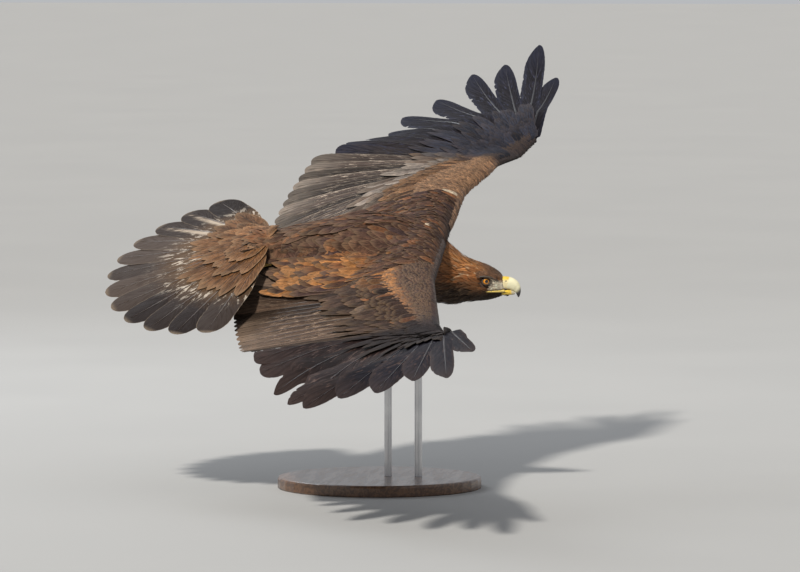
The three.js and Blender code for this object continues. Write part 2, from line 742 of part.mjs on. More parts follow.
function rod(y) {
  const bottom = BASE_THICKNESS + GAP;
  const top = FLIGHT_HEIGHT;
  const bar = new THREE.CylinderGeometry(ROD_RADIUS, ROD_RADIUS, top - bottom, ROD_SIDES);
  bar.rotateX(Math.PI / 2);
  bar.translate(0, y, (top + bottom) / 2);
  return cut(bar, bodyCutter);
}

addPiece('trunk', trunk, '#6e4c30', 0.8);
addPiece('stand_rod_front', rod(ROD_FRONT_Y), '#9a9a9c', 0.3, 1);
addPiece('stand_rod_back', rod(ROD_BACK_Y), '#9a9a9c', 0.3, 1);

export default group;
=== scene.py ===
import math

import bmesh
import bpy
import numpy as np
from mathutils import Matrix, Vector, kdtree


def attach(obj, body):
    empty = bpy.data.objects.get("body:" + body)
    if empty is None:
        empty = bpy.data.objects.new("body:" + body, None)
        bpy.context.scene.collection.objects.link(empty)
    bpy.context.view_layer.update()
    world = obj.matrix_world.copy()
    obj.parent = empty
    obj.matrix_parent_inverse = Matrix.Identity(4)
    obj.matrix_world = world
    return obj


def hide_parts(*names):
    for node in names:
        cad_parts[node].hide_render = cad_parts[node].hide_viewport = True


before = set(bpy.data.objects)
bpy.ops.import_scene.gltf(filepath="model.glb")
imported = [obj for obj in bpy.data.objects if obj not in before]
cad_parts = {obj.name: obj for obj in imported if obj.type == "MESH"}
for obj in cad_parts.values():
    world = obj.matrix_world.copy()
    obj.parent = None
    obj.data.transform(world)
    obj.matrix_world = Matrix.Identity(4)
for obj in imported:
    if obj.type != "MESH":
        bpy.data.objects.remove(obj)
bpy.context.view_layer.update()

# A golden eagle in a banked glide, feather by feather, on a wooden base with two steel rods.
# Lengths are in metres. The bird faces -y, its left wing points to +x and z is up.

RNG = np.random.default_rng(17)
DEG = math.pi / 180

# Flight attitude
FLIGHT_HEIGHT = 0.5
SHOULDER_Y = -0.095
ROLL = 15.8 * DEG
WING_PITCH = 5.9 * DEG
HEAD_YAW = 5 * DEG
HEAD_FORWARD = 0.128
HEAD_UP = -0.062
EYE_SIDE = 0.0255
EYE_RADIUS = 0.010

# Body sections: forward, middle's height, half width, height above, depth below, share of the bank
BODY_RINGS = np.array([
    [0.084, -0.057, 0.037, 0.046, 0.047, 0.1],
    [0.068, -0.053, 0.046, 0.052, 0.055, 0.3],
    [0.052, -0.047, 0.058, 0.059, 0.063, 0.6],
    [0.034, -0.038, 0.072, 0.066, 0.068, 0.9],
    [0.002, -0.024, 0.090, 0.074, 0.082, 1],
    [-0.040, -0.012, 0.098, 0.076, 0.088, 1],
    [-0.090, -0.004, 0.097, 0.072, 0.086, 1],
    [-0.140, 0.000, 0.090, 0.064, 0.076, 1],
    [-0.190, 0.003, 0.078, 0.054, 0.062, 1],
    [-0.235, 0.008, 0.066, 0.044, 0.046, 1],
    [-0.275, 0.013, 0.056, 0.033, 0.034, 1],
    [-0.312, 0.016, 0.044, 0.022, 0.022, 1],
])[::-1]
# Head sections: forward, top, bottom, half width
HEAD_RINGS = np.array([
    [-0.0435, 0.047, -0.039, 0.037],
    [-0.028, 0.044, -0.041, 0.037],
    [-0.010, 0.0385, -0.0405, 0.0355],
    [0.008, 0.032, -0.0385, 0.0315],
    [0.022, 0.024, -0.035, 0.026],
    [0.033, 0.0155, -0.031, 0.0195],
    [0.038, 0.011, -0.0285, 0.0155],
    [0.046, -0.004, -0.0312, 0.0105],
    [0.056, -0.019, -0.0312, 0.0050],
])
# The brow's swelling and the hollow round the eye: rise, forward, length, height on the side, breadth
BROW_SWELLING = (0.0032, 0.004, 0.013, 0.42, 0.17)
EYE_HOLLOW = (-0.0028, 0.002, 0.012, -0.02, 0.26)
# Where the body's sections pass over into the head's
NAPE = (0.070, 0.096)
# Bill sections: forward, height, half width, half height, tilt in degrees
UPPER_BILL = [
    (0.0330, -0.0040, 0.0140, 0.0140, 0),
    (0.0384, -0.0050, 0.0135, 0.0145, 0),
    (0.0470, -0.0045, 0.0115, 0.0135, 6),
    (0.0560, -0.0065, 0.0095, 0.0125, 18),
    (0.0640, -0.0120, 0.0070, 0.0105, 38),
    (0.0685, -0.0200, 0.0046, 0.0070, 64),
    (0.0700, -0.0280, 0.0028, 0.0040, 82),
    (0.0700, -0.0345, 0.0008, 0.0010, 95),
]
LOWER_BILL = [
    (0.0330, -0.0242, 0.0118, 0.0064, 0),
    (0.0384, -0.0244, 0.0116, 0.0064, 0),
    (0.0480, -0.0244, 0.0098, 0.0062, -1),
    (0.0570, -0.0250, 0.0070, 0.0050, -2),
    (0.0625, -0.0258, 0.0036, 0.0028, -4),
]

# Arm bones, from the shoulder out
SHOULDER_HALF = 0.082
SHOULDER_UP = 0.030
HUMERUS = 0.190
ULNA = 0.225
METACARPUS = 0.105
DIGITS = 0.065
# The span is bent in short steps, a little past the longest feather
SPAN_END = 1.4
SPAN_STEP = 0.002
SPAN_KNOTS = [0, 0.100, 0.270, 0.420, 0.600, 1.100]
ARM_THICKNESS = [0.030, 0.024, 0.017, 0.012, 0.0075, 0.004]
# Each wing's fit to the pose in degrees and metres: turn twists the fingers, deeper splits them further
WING_RIGHT = dict(
    side=1, turn=-0.75, deeper=0.0, humerus=-29, forearm=37, hand=23, camber=0.014,
    dihedral=[-6, -6, -12, 9, 9, 8], incidence=[0, 8, 5, -2, 17, 17],
    swing=[15.8, 20, 30, 46, 61.8, 72.8, 83.9, 91.4, 97.9, 104.7],
    reach=1.02, secondary_reach=1.01, secondary_swing=[6.4, -22.3],
)
WING_LEFT = dict(
    side=-1, turn=0.0, deeper=0.14, humerus=-21, forearm=46.5, hand=31, camber=0.032,
    dihedral=[7.6, 7.6, 2.1, 6.5, -7.4, 10.7], incidence=[-3, 3.4, -3.3, -10, 6.6, 6.6],
    swing=[10.2, 18.3, 28, 42.7, 53.2, 63.6, 74, 81.1, 88.2, 93.1],
    reach=0.97, secondary_reach=1.03, secondary_swing=[5.3, -26.2],
)
PRIMARIES = 10
PRIMARY_LENGTH = [0.350, 0.350, 0.355, 0.390, 0.465, 0.480, 0.553, 0.553, 0.628, 0.422]
PRIMARY_WIDTH = [0.050, 0.050, 0.052, 0.054, 0.056, 0.054, 0.050, 0.048, 0.044, 0.038]
PRIMARY_SPLIT = [0.9, 0.88, 0.84, 0.8, 0.74, 0.64, 0.56, 0.52, 0.5, 0.56]
VANE_OFFSET = 0.16
SECONDARIES = 13
TERTIALS = 5
SECONDARY_LENGTH = [0.368, 0.338]
TERTIAL_LENGTH = [0.340, 0.285]
TERTIAL_SWING = -14
SECONDARY_WIDTH = 0.060
TERTIAL_WIDTH = 0.062
# Where an arm feather starts to close, as a share of its length
SECONDARY_SPLIT = 0.94
TERTIAL_SPLIT = 0.95

# Tail fan
RECTRICES = 12
TAIL_FORWARD = -0.322
TAIL_UP = 0.017
TAIL_SLOPE = 14.1 * DEG
TAIL_HALF_FAN = 73.8 * DEG
TAIL_ROLL = 23.7 * DEG
TAIL_YAW = 5.2 * DEG
TAIL_ARCH = 0.020
TAIL_LENGTH = [0.371, 0.333]
TAIL_WIDTH = 0.070
# Feathers on the far side with a pale stripe beside the shaft
STRIPED = [1, 2]

# Legs, folded back under the tail
LEG_SIDE = 0.038
THIGH_RINGS = [(-0.095, -0.062, 0.020), (-0.125, -0.068, 0.035), (-0.165, -0.068, 0.034),
               (-0.205, -0.056, 0.027), (-0.238, -0.044, 0.022)]
TARSUS_RINGS = [(-0.238, -0.044, 0.017), (-0.270, -0.041, 0.014), (-0.305, -0.040, 0.013),
                (-0.322, -0.041, 0.012)]

# Depth of the skin under the coat's surface
COAT_BODY = 0.008
COAT_HEAD = 0.0022
COAT_ARM = 0.005
SKIN_VOXEL = 0.0032
# Bare rim round the bake map's patches
BAKE_MARGIN = 0.006


def srgb(red, green, blue):
    """A colour given as it looks on a screen, as linear light."""
    values = np.array([red, green, blue]) / 255.0
    return np.where(values <= 0.04045, values / 12.92, ((values + 0.055) / 1.055) ** 2.4)


def plumage(red, green, blue):
    """A feather's colour as it looks in sunlight, brought down to what the vane itself reflects."""
    return srgb(red, green, blue) * 0.62


def smooth(low, high, x):
    t = np.clip((x - low) / (high - low), 0, 1)
    return t * t * (3 - 2 * t)


def circle(count):
    return np.linspace(0, 2 * math.pi, count, endpoint=False)


def blend_colors(first, second, share):
    share = np.asarray(share)[..., None]
    return first * (1 - share) + second * share


# Places in the shared frame

def roll_place(right, forward, up, roll=ROLL):
    x = right * np.cos(roll) + up * np.sin(roll)
    z = up * np.cos(roll) - right * np.sin(roll)
    return np.stack([-x, SHOULDER_Y - forward + 0 * x, FLIGHT_HEIGHT + z], -1)


def head_place(forward, side, up):
    ahead = forward * math.cos(HEAD_YAW) + side * math.sin(HEAD_YAW)
    right = side * math.cos(HEAD_YAW) - forward * math.sin(HEAD_YAW)
    return roll_place(right, HEAD_FORWARD + ahead, HEAD_UP + up, 0)


def tail_place(side, along, height):
    a = side * math.cos(TAIL_YAW) - along * math.sin(TAIL_YAW)
    f = along * math.cos(TAIL_YAW) + side * math.sin(TAIL_YAW)
    h = height - TAIL_ARCH * (a / 0.3) ** 2
    back = -f * math.cos(TAIL_SLOPE) - h * math.sin(TAIL_SLOPE)
    up = f * math.sin(TAIL_SLOPE) + h * math.cos(TAIL_SLOPE)
    x = a * math.cos(TAIL_ROLL) + up * math.sin(TAIL_ROLL)
    z = up * math.cos(TAIL_ROLL) - a * math.sin(TAIL_ROLL)
    return np.stack([-x, SHOULDER_Y - TAIL_FORWARD + back, FLIGHT_HEIGHT + TAIL_UP + z], -1)


def smoothed_table(rings, step=0.002, blur=5):
    """The rings resampled finely and rounded off, so that no section shows as a crease."""
    at = np.arange(rings[0, 0], rings[-1, 0] + step, step)
    columns = [np.interp(at, rings[:, 0], rings[:, i]) for i in range(1, rings.shape[1])]
    kernel = np.hanning(2 * blur + 3)[1:-1]
    kernel /= kernel.sum()
    rounded = [np.convolve(np.pad(c, blur, mode="edge"), kernel, mode="valid") for c in columns]
    return at, rounded


BODY_TABLE = smoothed_table(BODY_RINGS)
HEAD_TABLE = smoothed_table(HEAD_RINGS, 0.001, 4)


def sections(table, at):
    """The columns of a table of rings, read off at places along it."""
    return [np.interp(at, table[0], column) for column in table[1]]


def swelling(shape, forward, sine):
    rise, middle, length, height, breadth = shape
    return rise * np.exp(-((forward - middle) / length) ** 2 - ((sine - height) / breadth) ** 2)


def lifted_ellipse(wide, tall, angle, lift):
    """Across and up from an ellipse's middle to a point that stands off its edge by lift."""
    nx = np.cos(angle) / wide
    ny = np.sin(angle) / tall
    size = np.sqrt(nx * nx + ny * ny)
    return wide * np.cos(angle) + lift * nx / size, tall * np.sin(angle) + lift * ny / size


def torso(q, angle, lift):
    """A point over the body and head: q runs forward, the angle turns from the right side over the back."""
    middle, half, above, below, bank = sections(BODY_TABLE, q)
    tall = np.where(np.sin(angle) > 0, above, below)
    across, up = lifted_ellipse(half, tall, angle, lift)
    on_body = roll_place(across, q, middle + up, ROLL * bank)

    forward = q - HEAD_FORWARD
    top, bottom, half = sections(HEAD_TABLE, forward)
    sine = np.sin(angle)
    form = lift + swelling(BROW_SWELLING, forward, sine) + swelling(EYE_HOLLOW, forward, sine)
    across, up = lifted_ellipse(half, (top - bottom) / 2, angle, form)
    on_head = head_place(forward, across, (top + bottom) / 2 + up)

    share = smooth(*NAPE, q)[..., None]
    return on_body * (1 - share) + on_head * share


def torso_radius(q):
    middle, half, above, below, bank = sections(BODY_TABLE, q)
    on_body = (half + (above + below) / 2) / 2
    top, bottom, half = sections(HEAD_TABLE, q - HEAD_FORWARD)
    on_head = (half + (top - bottom) / 2) / 2
    share = smooth(*NAPE, q)
    return on_body * (1 - share) + on_head * share


def head_angle(forward, height, left):
    """The angle at which the side of the head has a height; left picks the bird's left side."""
    top, bottom, half = sections(HEAD_TABLE, forward)
    angle = np.arcsin(np.clip((height - (top + bottom) / 2) / ((top - bottom) / 2), -1, 1))
    return math.pi - angle if left else angle


class Wing:
    """A flat planform of outward and forward lengths, wrapped on a bent and twisted span."""

    def __init__(self, name, spec):
        self.name = name
        self.__dict__.update(spec)

        def reach(length, angle):
            return np.array([length * math.cos(angle * DEG), length * math.sin(angle * DEG)])

        self.shoulder = np.zeros(2)
        self.elbow = reach(HUMERUS, self.humerus)
        self.wrist = self.elbow + reach(ULNA, self.forearm)
        self.knuckle = self.wrist + reach(METACARPUS, self.hand)
        self.fingertip = self.knuckle + reach(DIGITS, self.hand)
        self.steps = np.arange(0, SPAN_END, SPAN_STEP)
        d = np.interp(self.steps + SPAN_STEP / 2, SPAN_KNOTS, self.dihedral) * DEG
        self.run = np.concatenate([[0], np.cumsum(np.cos(d) * SPAN_STEP)])[:-1]
        self.rise = np.concatenate([[0], np.cumsum(np.sin(d) * SPAN_STEP)])[:-1]
        w, k, t = self.wrist, self.knuckle, self.fingertip
        self.edge = np.array([
            [-0.020, 0.052], [0.45 * w[0], 0.024 + 0.45 * w[1]], [0.8 * w[0], 0.022 + 0.9 * w[1]],
            [w[0] + 0.012, w[1] + 0.030], [k[0] + 0.004, k[1] + 0.020], [t[0] + 0.006, t[1] + 0.012],
        ])
        self.bones = np.array([self.shoulder, self.elbow, w, k, t])
        self.thick_at = [0, 0.090, self.elbow[0], w[0], k[0], t[0]]
        self.remiges = self.flight_feathers()
        roots = np.array([r["root"] for r in self.remiges])
        self.root_line = roots
        self.root_swing = np.array([r["swing"] for r in self.remiges])
        along = np.linalg.norm(np.diff(roots, axis=0), axis=1)
        self.root_t = np.concatenate([[0], np.cumsum(along)]) / along.sum()
        self.root_span = along.sum()
        self.hand_t = float(self.root_t[TERTIALS + SECONDARIES])
        edge_along = np.linalg.norm(np.diff(self.edge, axis=0), axis=1)
        self.edge_t = np.concatenate([[0], np.cumsum(edge_along)]) / edge_along.sum()

    def flight_feathers(self):
        """Innermost first: the tertials, the secondaries, then the primaries."""
        found = []
        for k in range(TERTIALS, 0, -1):
            t = k / TERTIALS
            found.append(dict(
                kind="tertial", k=k,
                root=self.elbow + (self.shoulder - self.elbow) * 0.8 * t,
                swing=self.secondary_swing[1] * (1 - t) + TERTIAL_SWING * t,
                length=TERTIAL_LENGTH[0] * (1 - t) + TERTIAL_LENGTH[1] * t,
                width=TERTIAL_WIDTH, split=TERTIAL_SPLIT,
            ))
        for k in range(SECONDARIES, 0, -1):
            t = (k - 1) / (SECONDARIES - 1)
            found.append(dict(
                kind="secondary", k=k,
                root=self.wrist + (self.elbow - self.wrist) * (0.02 + 0.96 * t),
                swing=self.secondary_swing[0] * (1 - t) + self.secondary_swing[1] * t,
                length=(SECONDARY_LENGTH[0] * (1 - t) + SECONDARY_LENGTH[1] * t) * self.secondary_reach,
                width=SECONDARY_WIDTH, split=SECONDARY_SPLIT,
            ))
        for k in range(1, PRIMARIES + 1):
            if k <= 6:
                root = self.wrist + (self.knuckle - self.wrist) * (0.08 + 0.84 * (k - 1) / 5)
            else:
                root = self.knuckle + (self.fingertip - self.knuckle) * (k - 6) / 4
            found.append(dict(
                kind="primary", k=k, root=root, swing=self.swing[k - 1],
                length=PRIMARY_LENGTH[k - 1] * self.reach, width=PRIMARY_WIDTH[k - 1],
                split=PRIMARY_SPLIT[k - 1] - (self.deeper if k >= 5 else 0),
            ))
        return found

    def place(self, a, f, h):
        span = np.maximum(a, 0)
        d = np.interp(span, SPAN_KNOTS, self.dihedral) * DEG
        tilt = np.interp(span, SPAN_KNOTS, self.incidence) * DEG
        x = np.interp(span, self.steps, self.run) + np.minimum(a, 0)
        z = np.interp(span, self.steps, self.rise)
        h = h - self.camber * np.where(f < 0, 1, 2.2) * (f / 0.35) ** 2
        lift = f * np.sin(tilt) + h * np.cos(tilt)
        ahead = f * np.cos(tilt) - h * np.sin(tilt)
        right = self.side * (SHOULDER_HALF + x - np.sin(d) * lift)
        up = SHOULDER_UP + z + np.cos(d) * lift
        c, s = math.cos(WING_PITCH), math.sin(WING_PITCH)
        return roll_place(right, ahead * c - up * s, ahead * s + up * c)

    def front(self, a):
        return np.interp(a, self.edge[:, 0], self.edge[:, 1])

    def chord(self, a):
        """How far the flesh reaches back from the leading edge."""
        return 1.5 * (self.front(a) - np.interp(a, self.bones[:, 0], self.bones[:, 1]) + 0.030)

    def behind(self, a, f):
        """A place brought back to the leading edge, and how far it stood in front of it."""
        front = self.front(a)
        return np.minimum(f, front), np.maximum(f - front, 0)

    def upper(self, a, f):
        """Height of the upper face; near the body it runs up over the back."""
        middle, half, above, below, bank = sections(BODY_TABLE, f)
        right = np.abs(SHOULDER_HALF + a)
        share = np.clip(1 - (right / half) ** 2, 0, 1)
        back = middle + above * np.sqrt(share) - SHOULDER_UP - f * math.sin(WING_PITCH) + 0.003
        back = np.where(share > 0, back, -0.05)
        flat = self.section(a, f)
        joined = (back + flat + np.sqrt((back - flat) ** 2 + 0.010 ** 2)) / 2
        return np.where(a < 0.06, joined - 0.0025 * smooth(0.0, 0.06, a), flat)

    def section(self, a, f):
        """Half thickness of the flesh and small feathers at a place of the planform."""
        front = self.front(a)
        thick = np.interp(a, self.thick_at, ARM_THICKNESS)
        x = np.clip((front - f) / self.chord(a), 0, 1)
        # The usual thickness curve of an aerofoil
        shape = 10 * (0.2969 * np.sqrt(x) - 0.126 * x - 0.3516 * x ** 2 + 0.2843 * x ** 3 - 0.1015 * x ** 4)
        shape = shape + 0.08 * smooth(0.75, 1, x)
        beyond = 0.0022 * smooth(0, 0.025, front - f)
        outside = smooth(0, 0.05, a - self.fingertip[0])
        return np.maximum(thick * shape * (1 - 0.7 * outside), beyond)

    def at(self, t, v):
        """The planform point at share t along the wing, v from the leading edge back to the quill roots."""
        front = np.stack([np.interp(t, self.edge_t, self.edge[:, i]) for i in (0, 1)], -1)
        back = np.stack([np.interp(t, self.root_t, self.root_line[:, i]) for i in (0, 1)], -1)
        return front * (1 - v[..., None]) + back * v[..., None]

    def swing_at(self, t):
        return np.interp(t, self.root_t, self.root_swing) * DEG


RIGHT = Wing("right", WING_RIGHT)
LEFT = Wing("left", WING_LEFT)


# Meshes from arrays

def linked(name, data):
    obj = bpy.data.objects.new(name, data)
    bpy.context.scene.collection.objects.link(obj)
    return obj


def mesh_object(name, vertices, faces, rim=None):
    mesh = bpy.data.meshes.new(name)
    vertices = np.asarray(vertices, dtype=np.float32).reshape(-1, 3)
    faces = np.asarray(faces, dtype=np.int32)
    mesh.vertices.add(len(vertices))
    mesh.vertices.foreach_set("co", vertices.ravel())
    mesh.loops.add(faces.size)
    mesh.loops.foreach_set("vertex_index", faces.ravel())
    mesh.polygons.add(len(faces))
    mesh.polygons.foreach_set("loop_start", np.arange(len(faces), dtype=np.int32) * faces.shape[1])
    mesh.update(calc_edges=True)
    mesh.polygons.foreach_set("use_smooth", np.ones(len(faces), dtype=bool))
    if rim is not None:
        ends = np.empty(len(mesh.edges) * 2, dtype=np.int32)
        mesh.edges.foreach_get("vertices", ends)
        ends = ends.reshape(-1, 2)
        sharp = rim[ends[:, 0]] & rim[ends[:, 1]]
        attribute = mesh.attributes.new("sharp_edge", "BOOLEAN", "EDGE")
        attribute.data.foreach_set("value", sharp)
    return linked(name, mesh)


def add_uv(obj, name, per_corner):
    layer = obj.data.uv_layers.new(name=name)
    layer.data.foreach_set("uv", np.asarray(per_corner, dtype=np.float32).ravel())


def add_color(obj, name, per_vertex):
    attribute = obj.data.attributes.new(name, "FLOAT_COLOR", "POINT")
    values = np.ones((len(per_vertex), 4), dtype=np.float32)
    values[:, :3] = per_vertex
    attribute.data.foreach_set("color", values.ravel())


def finish_piece(obj, material, slot, *replaced):
    """Gives a piece its material and hides the plain solids that it stands in for. The slot is not used."""
    obj.data.materials.append(material)
    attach(obj, "root")
    if replaced:
        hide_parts(*replaced)


def vane_grid(rows, columns):
    """Corner lists of one closed vane: the upper sheet, then the lower one, joined along the rim."""
    upper = np.arange(rows * columns).reshape(rows, columns)
    rim = np.zeros((rows, columns), dtype=bool)
    rim[0] = rim[-1] = True
    rim[:, 0] = rim[:, -1] = True
    lower = upper.copy()
    inner = np.argwhere(~rim)
    lower[~rim] = rows * columns + np.arange(len(inner))
    a, b, c, d = upper[:-1, :-1], upper[:-1, 1:], upper[1:, 1:], upper[1:, :-1]
    top = np.stack([a, b, c, d], -1).reshape(-1, 4)
    a, b, c, d = lower[:-1, :-1], lower[:-1, 1:], lower[1:, 1:], lower[1:, :-1]
    bottom = np.stack([a, d, c, b], -1).reshape(-1, 4)
    return np.concatenate([top, bottom]), rim, inner


class Coat:
    """Many closed, thin vanes gathered into one mesh."""

    def __init__(self, name, rows, columns):
        self.name = name
        self.rows = rows
        self.columns = columns
        self.faces, self.rim, self.inner = vane_grid(rows, columns)
        self.groups = []

    def contour_outline(self, u, count, form, rough):
        """Half widths of small feathers: a narrow root, then full, then closing as form says."""
        half = np.clip(u / 0.3, 0, 1) ** 0.6 * (1 - np.clip(u, 0, 1) ** form[0]) ** form[1]
        half = np.repeat(np.clip(half, 0.04, 1)[None], count, 0)
        left = half * (1 + RNG.uniform(-rough, rough, half.shape))
        right = half * (1 + RNG.uniform(-rough, rough, half.shape))
        return left, right

    def add(self, place, length, width, chart, tint, edge, form=(5, 0.6), lifts=(-0.001, 0.003),
            camber=0.0012, thickness=0.0005, rough=0.06, outline=None, tilt=None):
        """place(i, s, c, h) gives points: i the vane, s along it, c across it, h above the surface."""
        count = len(length)
        u = 1 - (1 - np.linspace(0, 1, self.rows)) ** 1.25
        c = np.linspace(-1, 1, self.columns)
        left, right = outline(u) if outline else self.contour_outline(u, count, form, rough)
        share = np.where(c < 0, left[..., None] * c, right[..., None] * c)
        across = share * (width[:, None, None] / 2)
        s = u[None, :, None] * length[:, None, None] + 0 * across
        h = lifts[0] + (lifts[1] - lifts[0]) * u[None, :, None] - camber * share ** 2
        if tilt is not None:
            h = h + tilt(u)[:, :, None] * across
        index = np.arange(count)[:, None, None]
        top = place(index, s, across, h)
        ri, ci = self.inner[:, 0], self.inner[:, 1]
        bottom = place(index, s, across, h - thickness)[:, ri, ci]
        points = np.concatenate([top.reshape(count, -1, 3), bottom], 1)
        grid_u = np.repeat(u[:, None], self.columns, 1)
        grid_c = np.repeat((c[None] + 1) / 2, self.rows, 0)
        flat = np.stack([grid_c.ravel(), grid_u.ravel()], -1)
        vane_uv = np.concatenate([flat, np.stack([grid_c[ri, ci], grid_u[ri, ci]], -1)])
        self.groups.append(dict(
            points=points, chart=chart, tint=tint, edge=edge, vane=vane_uv,
            lot=RNG.random(count), root=top[:, 0, self.columns // 2],
        ))

    def gathered(self, key):
        return np.concatenate([group[key] for group in self.groups])

    def build(self, slot, material, *replaced, patch=(0.003, 0.003)):
        """One mesh of all the vanes; in the bake map each has a patch at its root's place on the chart."""
        points = self.gathered("points")
        count, per = points.shape[:2]
        faces = (self.faces[None] + (np.arange(count) * per)[:, None, None]).reshape(-1, 4)
        rim = np.concatenate([self.rim.ravel(), np.zeros(len(self.inner), dtype=bool)])
        obj = mesh_object(self.name, points.reshape(-1, 3), faces, np.tile(rim, count))
        vane = self.groups[0]["vane"][self.faces.ravel()]
        chart = self.gathered("chart")
        low, high = chart.min(0), chart.max(0)
        chart = (chart - low) / np.maximum(high - low, 1e-6)
        room = np.asarray(patch) / 2 + BAKE_MARGIN
        chart = np.where(high > low, room + (1 - 2 * room) * chart, 0.5)
        bake = np.repeat(chart[:, None], len(vane), 1) + (vane[None] - 0.5) * patch
        add_uv(obj, "OFBake", bake.reshape(-1, 2))
        add_uv(obj, "Vane", np.tile(vane, (count, 1)))
        lot = self.gathered("lot")
        add_uv(obj, "Lot", np.repeat(np.stack([lot, 1 - lot], -1), len(vane), 0))
        self.tint = self.gathered("tint")
        add_color(obj, "Tint", np.repeat(self.tint, per, 0))
        add_color(obj, "Edge", np.repeat(self.gathered("edge"), per, 0))
        self.roots = self.gathered("root")
        finish_piece(obj, material, slot, *replaced)
        print(self.name, count, "vanes", len(faces) * 2, "triangles")


# Materials

class Graph:
    """A small helper that adds shader nodes and joins them."""

    def __init__(self, name):
        self.material = bpy.data.materials.new(name)
        self.material.use_nodes = True
        self.tree = self.material.node_tree
        self.bsdf = self.tree.nodes["Principled BSDF"]

    def node(self, kind, settings=None, **inputs):
        made = self.tree.nodes.new(kind)
        for key, value in (settings or {}).items():
            setattr(made, key, value)
        for key, value in inputs.items():
            self.put(made.inputs[key.replace("_", " ")], value)
        return made

    def put(self, socket, value):
        if isinstance(value, bpy.types.NodeSocket):
            self.tree.links.new(value, socket)
        else:
            socket.default_value = value

    def put_color(self, socket, value):
        self.put(socket, value if isinstance(value, bpy.types.NodeSocket) else (*value, 1))

    def math(self, operation, first, second=0.5):
        made = self.node("ShaderNodeMath", {"operation": operation})
        self.put(made.inputs[0], first)
        self.put(made.inputs[1], second)
        return made.outputs[0]

    def product(self, first, second):
        return self.math("MULTIPLY", first, second)

    def total(self, first, second):
        return self.math("ADD", first, second)

    def mix(self, factor, first, second, how="MIX"):
        made = self.node("ShaderNodeMix", {"data_type": "RGBA", "blend_type": how})
        self.put(made.inputs[0], factor)
        self.put_color(made.inputs[6], first)
        self.put_color(made.inputs[7], second)
        return made.outputs[2]

    def times(self, color, *factors):
        return self.mix(1.0, color, factors, "MULTIPLY")

    def span(self, value, low, high, to_low=0.0, to_high=1.0):
        made = self.node("ShaderNodeMapRange", {"interpolation_type": "SMOOTHSTEP"})
        for i, number in enumerate((value, low, high, to_low, to_high)):
            self.put(made.inputs[i], number)
        return made.outputs[0]

    def noise(self, vector, scale, detail=3.0, rough=0.6):
        made = self.node("ShaderNodeTexNoise", Scale=scale, Detail=detail, Roughness=rough, Vector=vector)
        return made.outputs["Fac"]

    def place(self):
        return self.node("ShaderNodeTexCoord").outputs["Object"]

    def stretched(self, *scale):
        return self.node("ShaderNodeMapping", Vector=self.place(), Scale=scale).outputs[0]

    def point(self, x, y, z):
        return self.node("ShaderNodeCombineXYZ", X=x, Y=y, Z=z).outputs[0]

    def attribute(self, name):
        return self.node("ShaderNodeVertexColor", {"layer_name": name}).outputs[0]

    def uv(self, name):
        flat = self.node("ShaderNodeUVMap", {"uv_map": name}).outputs[0]
        return self.node("ShaderNodeSeparateXYZ", Vector=flat).outputs

    def bump(self, height, strength, distance=0.001):
        made = self.node("ShaderNodeBump", Strength=strength, Distance=distance, Height=height)
        self.put(self.bsdf.inputs["Normal"], made.outputs[0])

    def finish(self, color, roughness, **plain):
        self.put_color(self.bsdf.inputs["Base Color"], color)
        self.put(self.bsdf.inputs["Roughness"], roughness)
        for key, value in plain.items():
            self.bsdf.inputs[key.replace("_", " ")].default_value = value
        return self.material


class Vane:
    """Shader values over one feather: across it, along it, off the shaft and slanted with the barbs."""

    def __init__(self, g, slope):
        self.g = g
        self.across, self.along = g.uv("Vane")[0], g.uv("Vane")[1]
        self.lot = g.uv("Lot")[0]
        self.off = g.math("ABSOLUTE", g.math("SUBTRACT", self.across, 0.5))
        self.slant = g.math("SUBTRACT", self.along, g.product(self.off, slope))

    def cells(self, run, spread, lots, scale, rough):
        g = self.g
        at = g.point(g.product(self.slant, run), g.product(self.off, spread), g.product(self.lot, lots))
        return g.noise(at, scale, 4.0, rough)

    def streaks(self, run):
        return self.cells(run, 1.5, 57, 3.0, 0.65)

    def spots(self, run, spread):
        return self.cells(run, spread, 91, 2.2, 0.7)


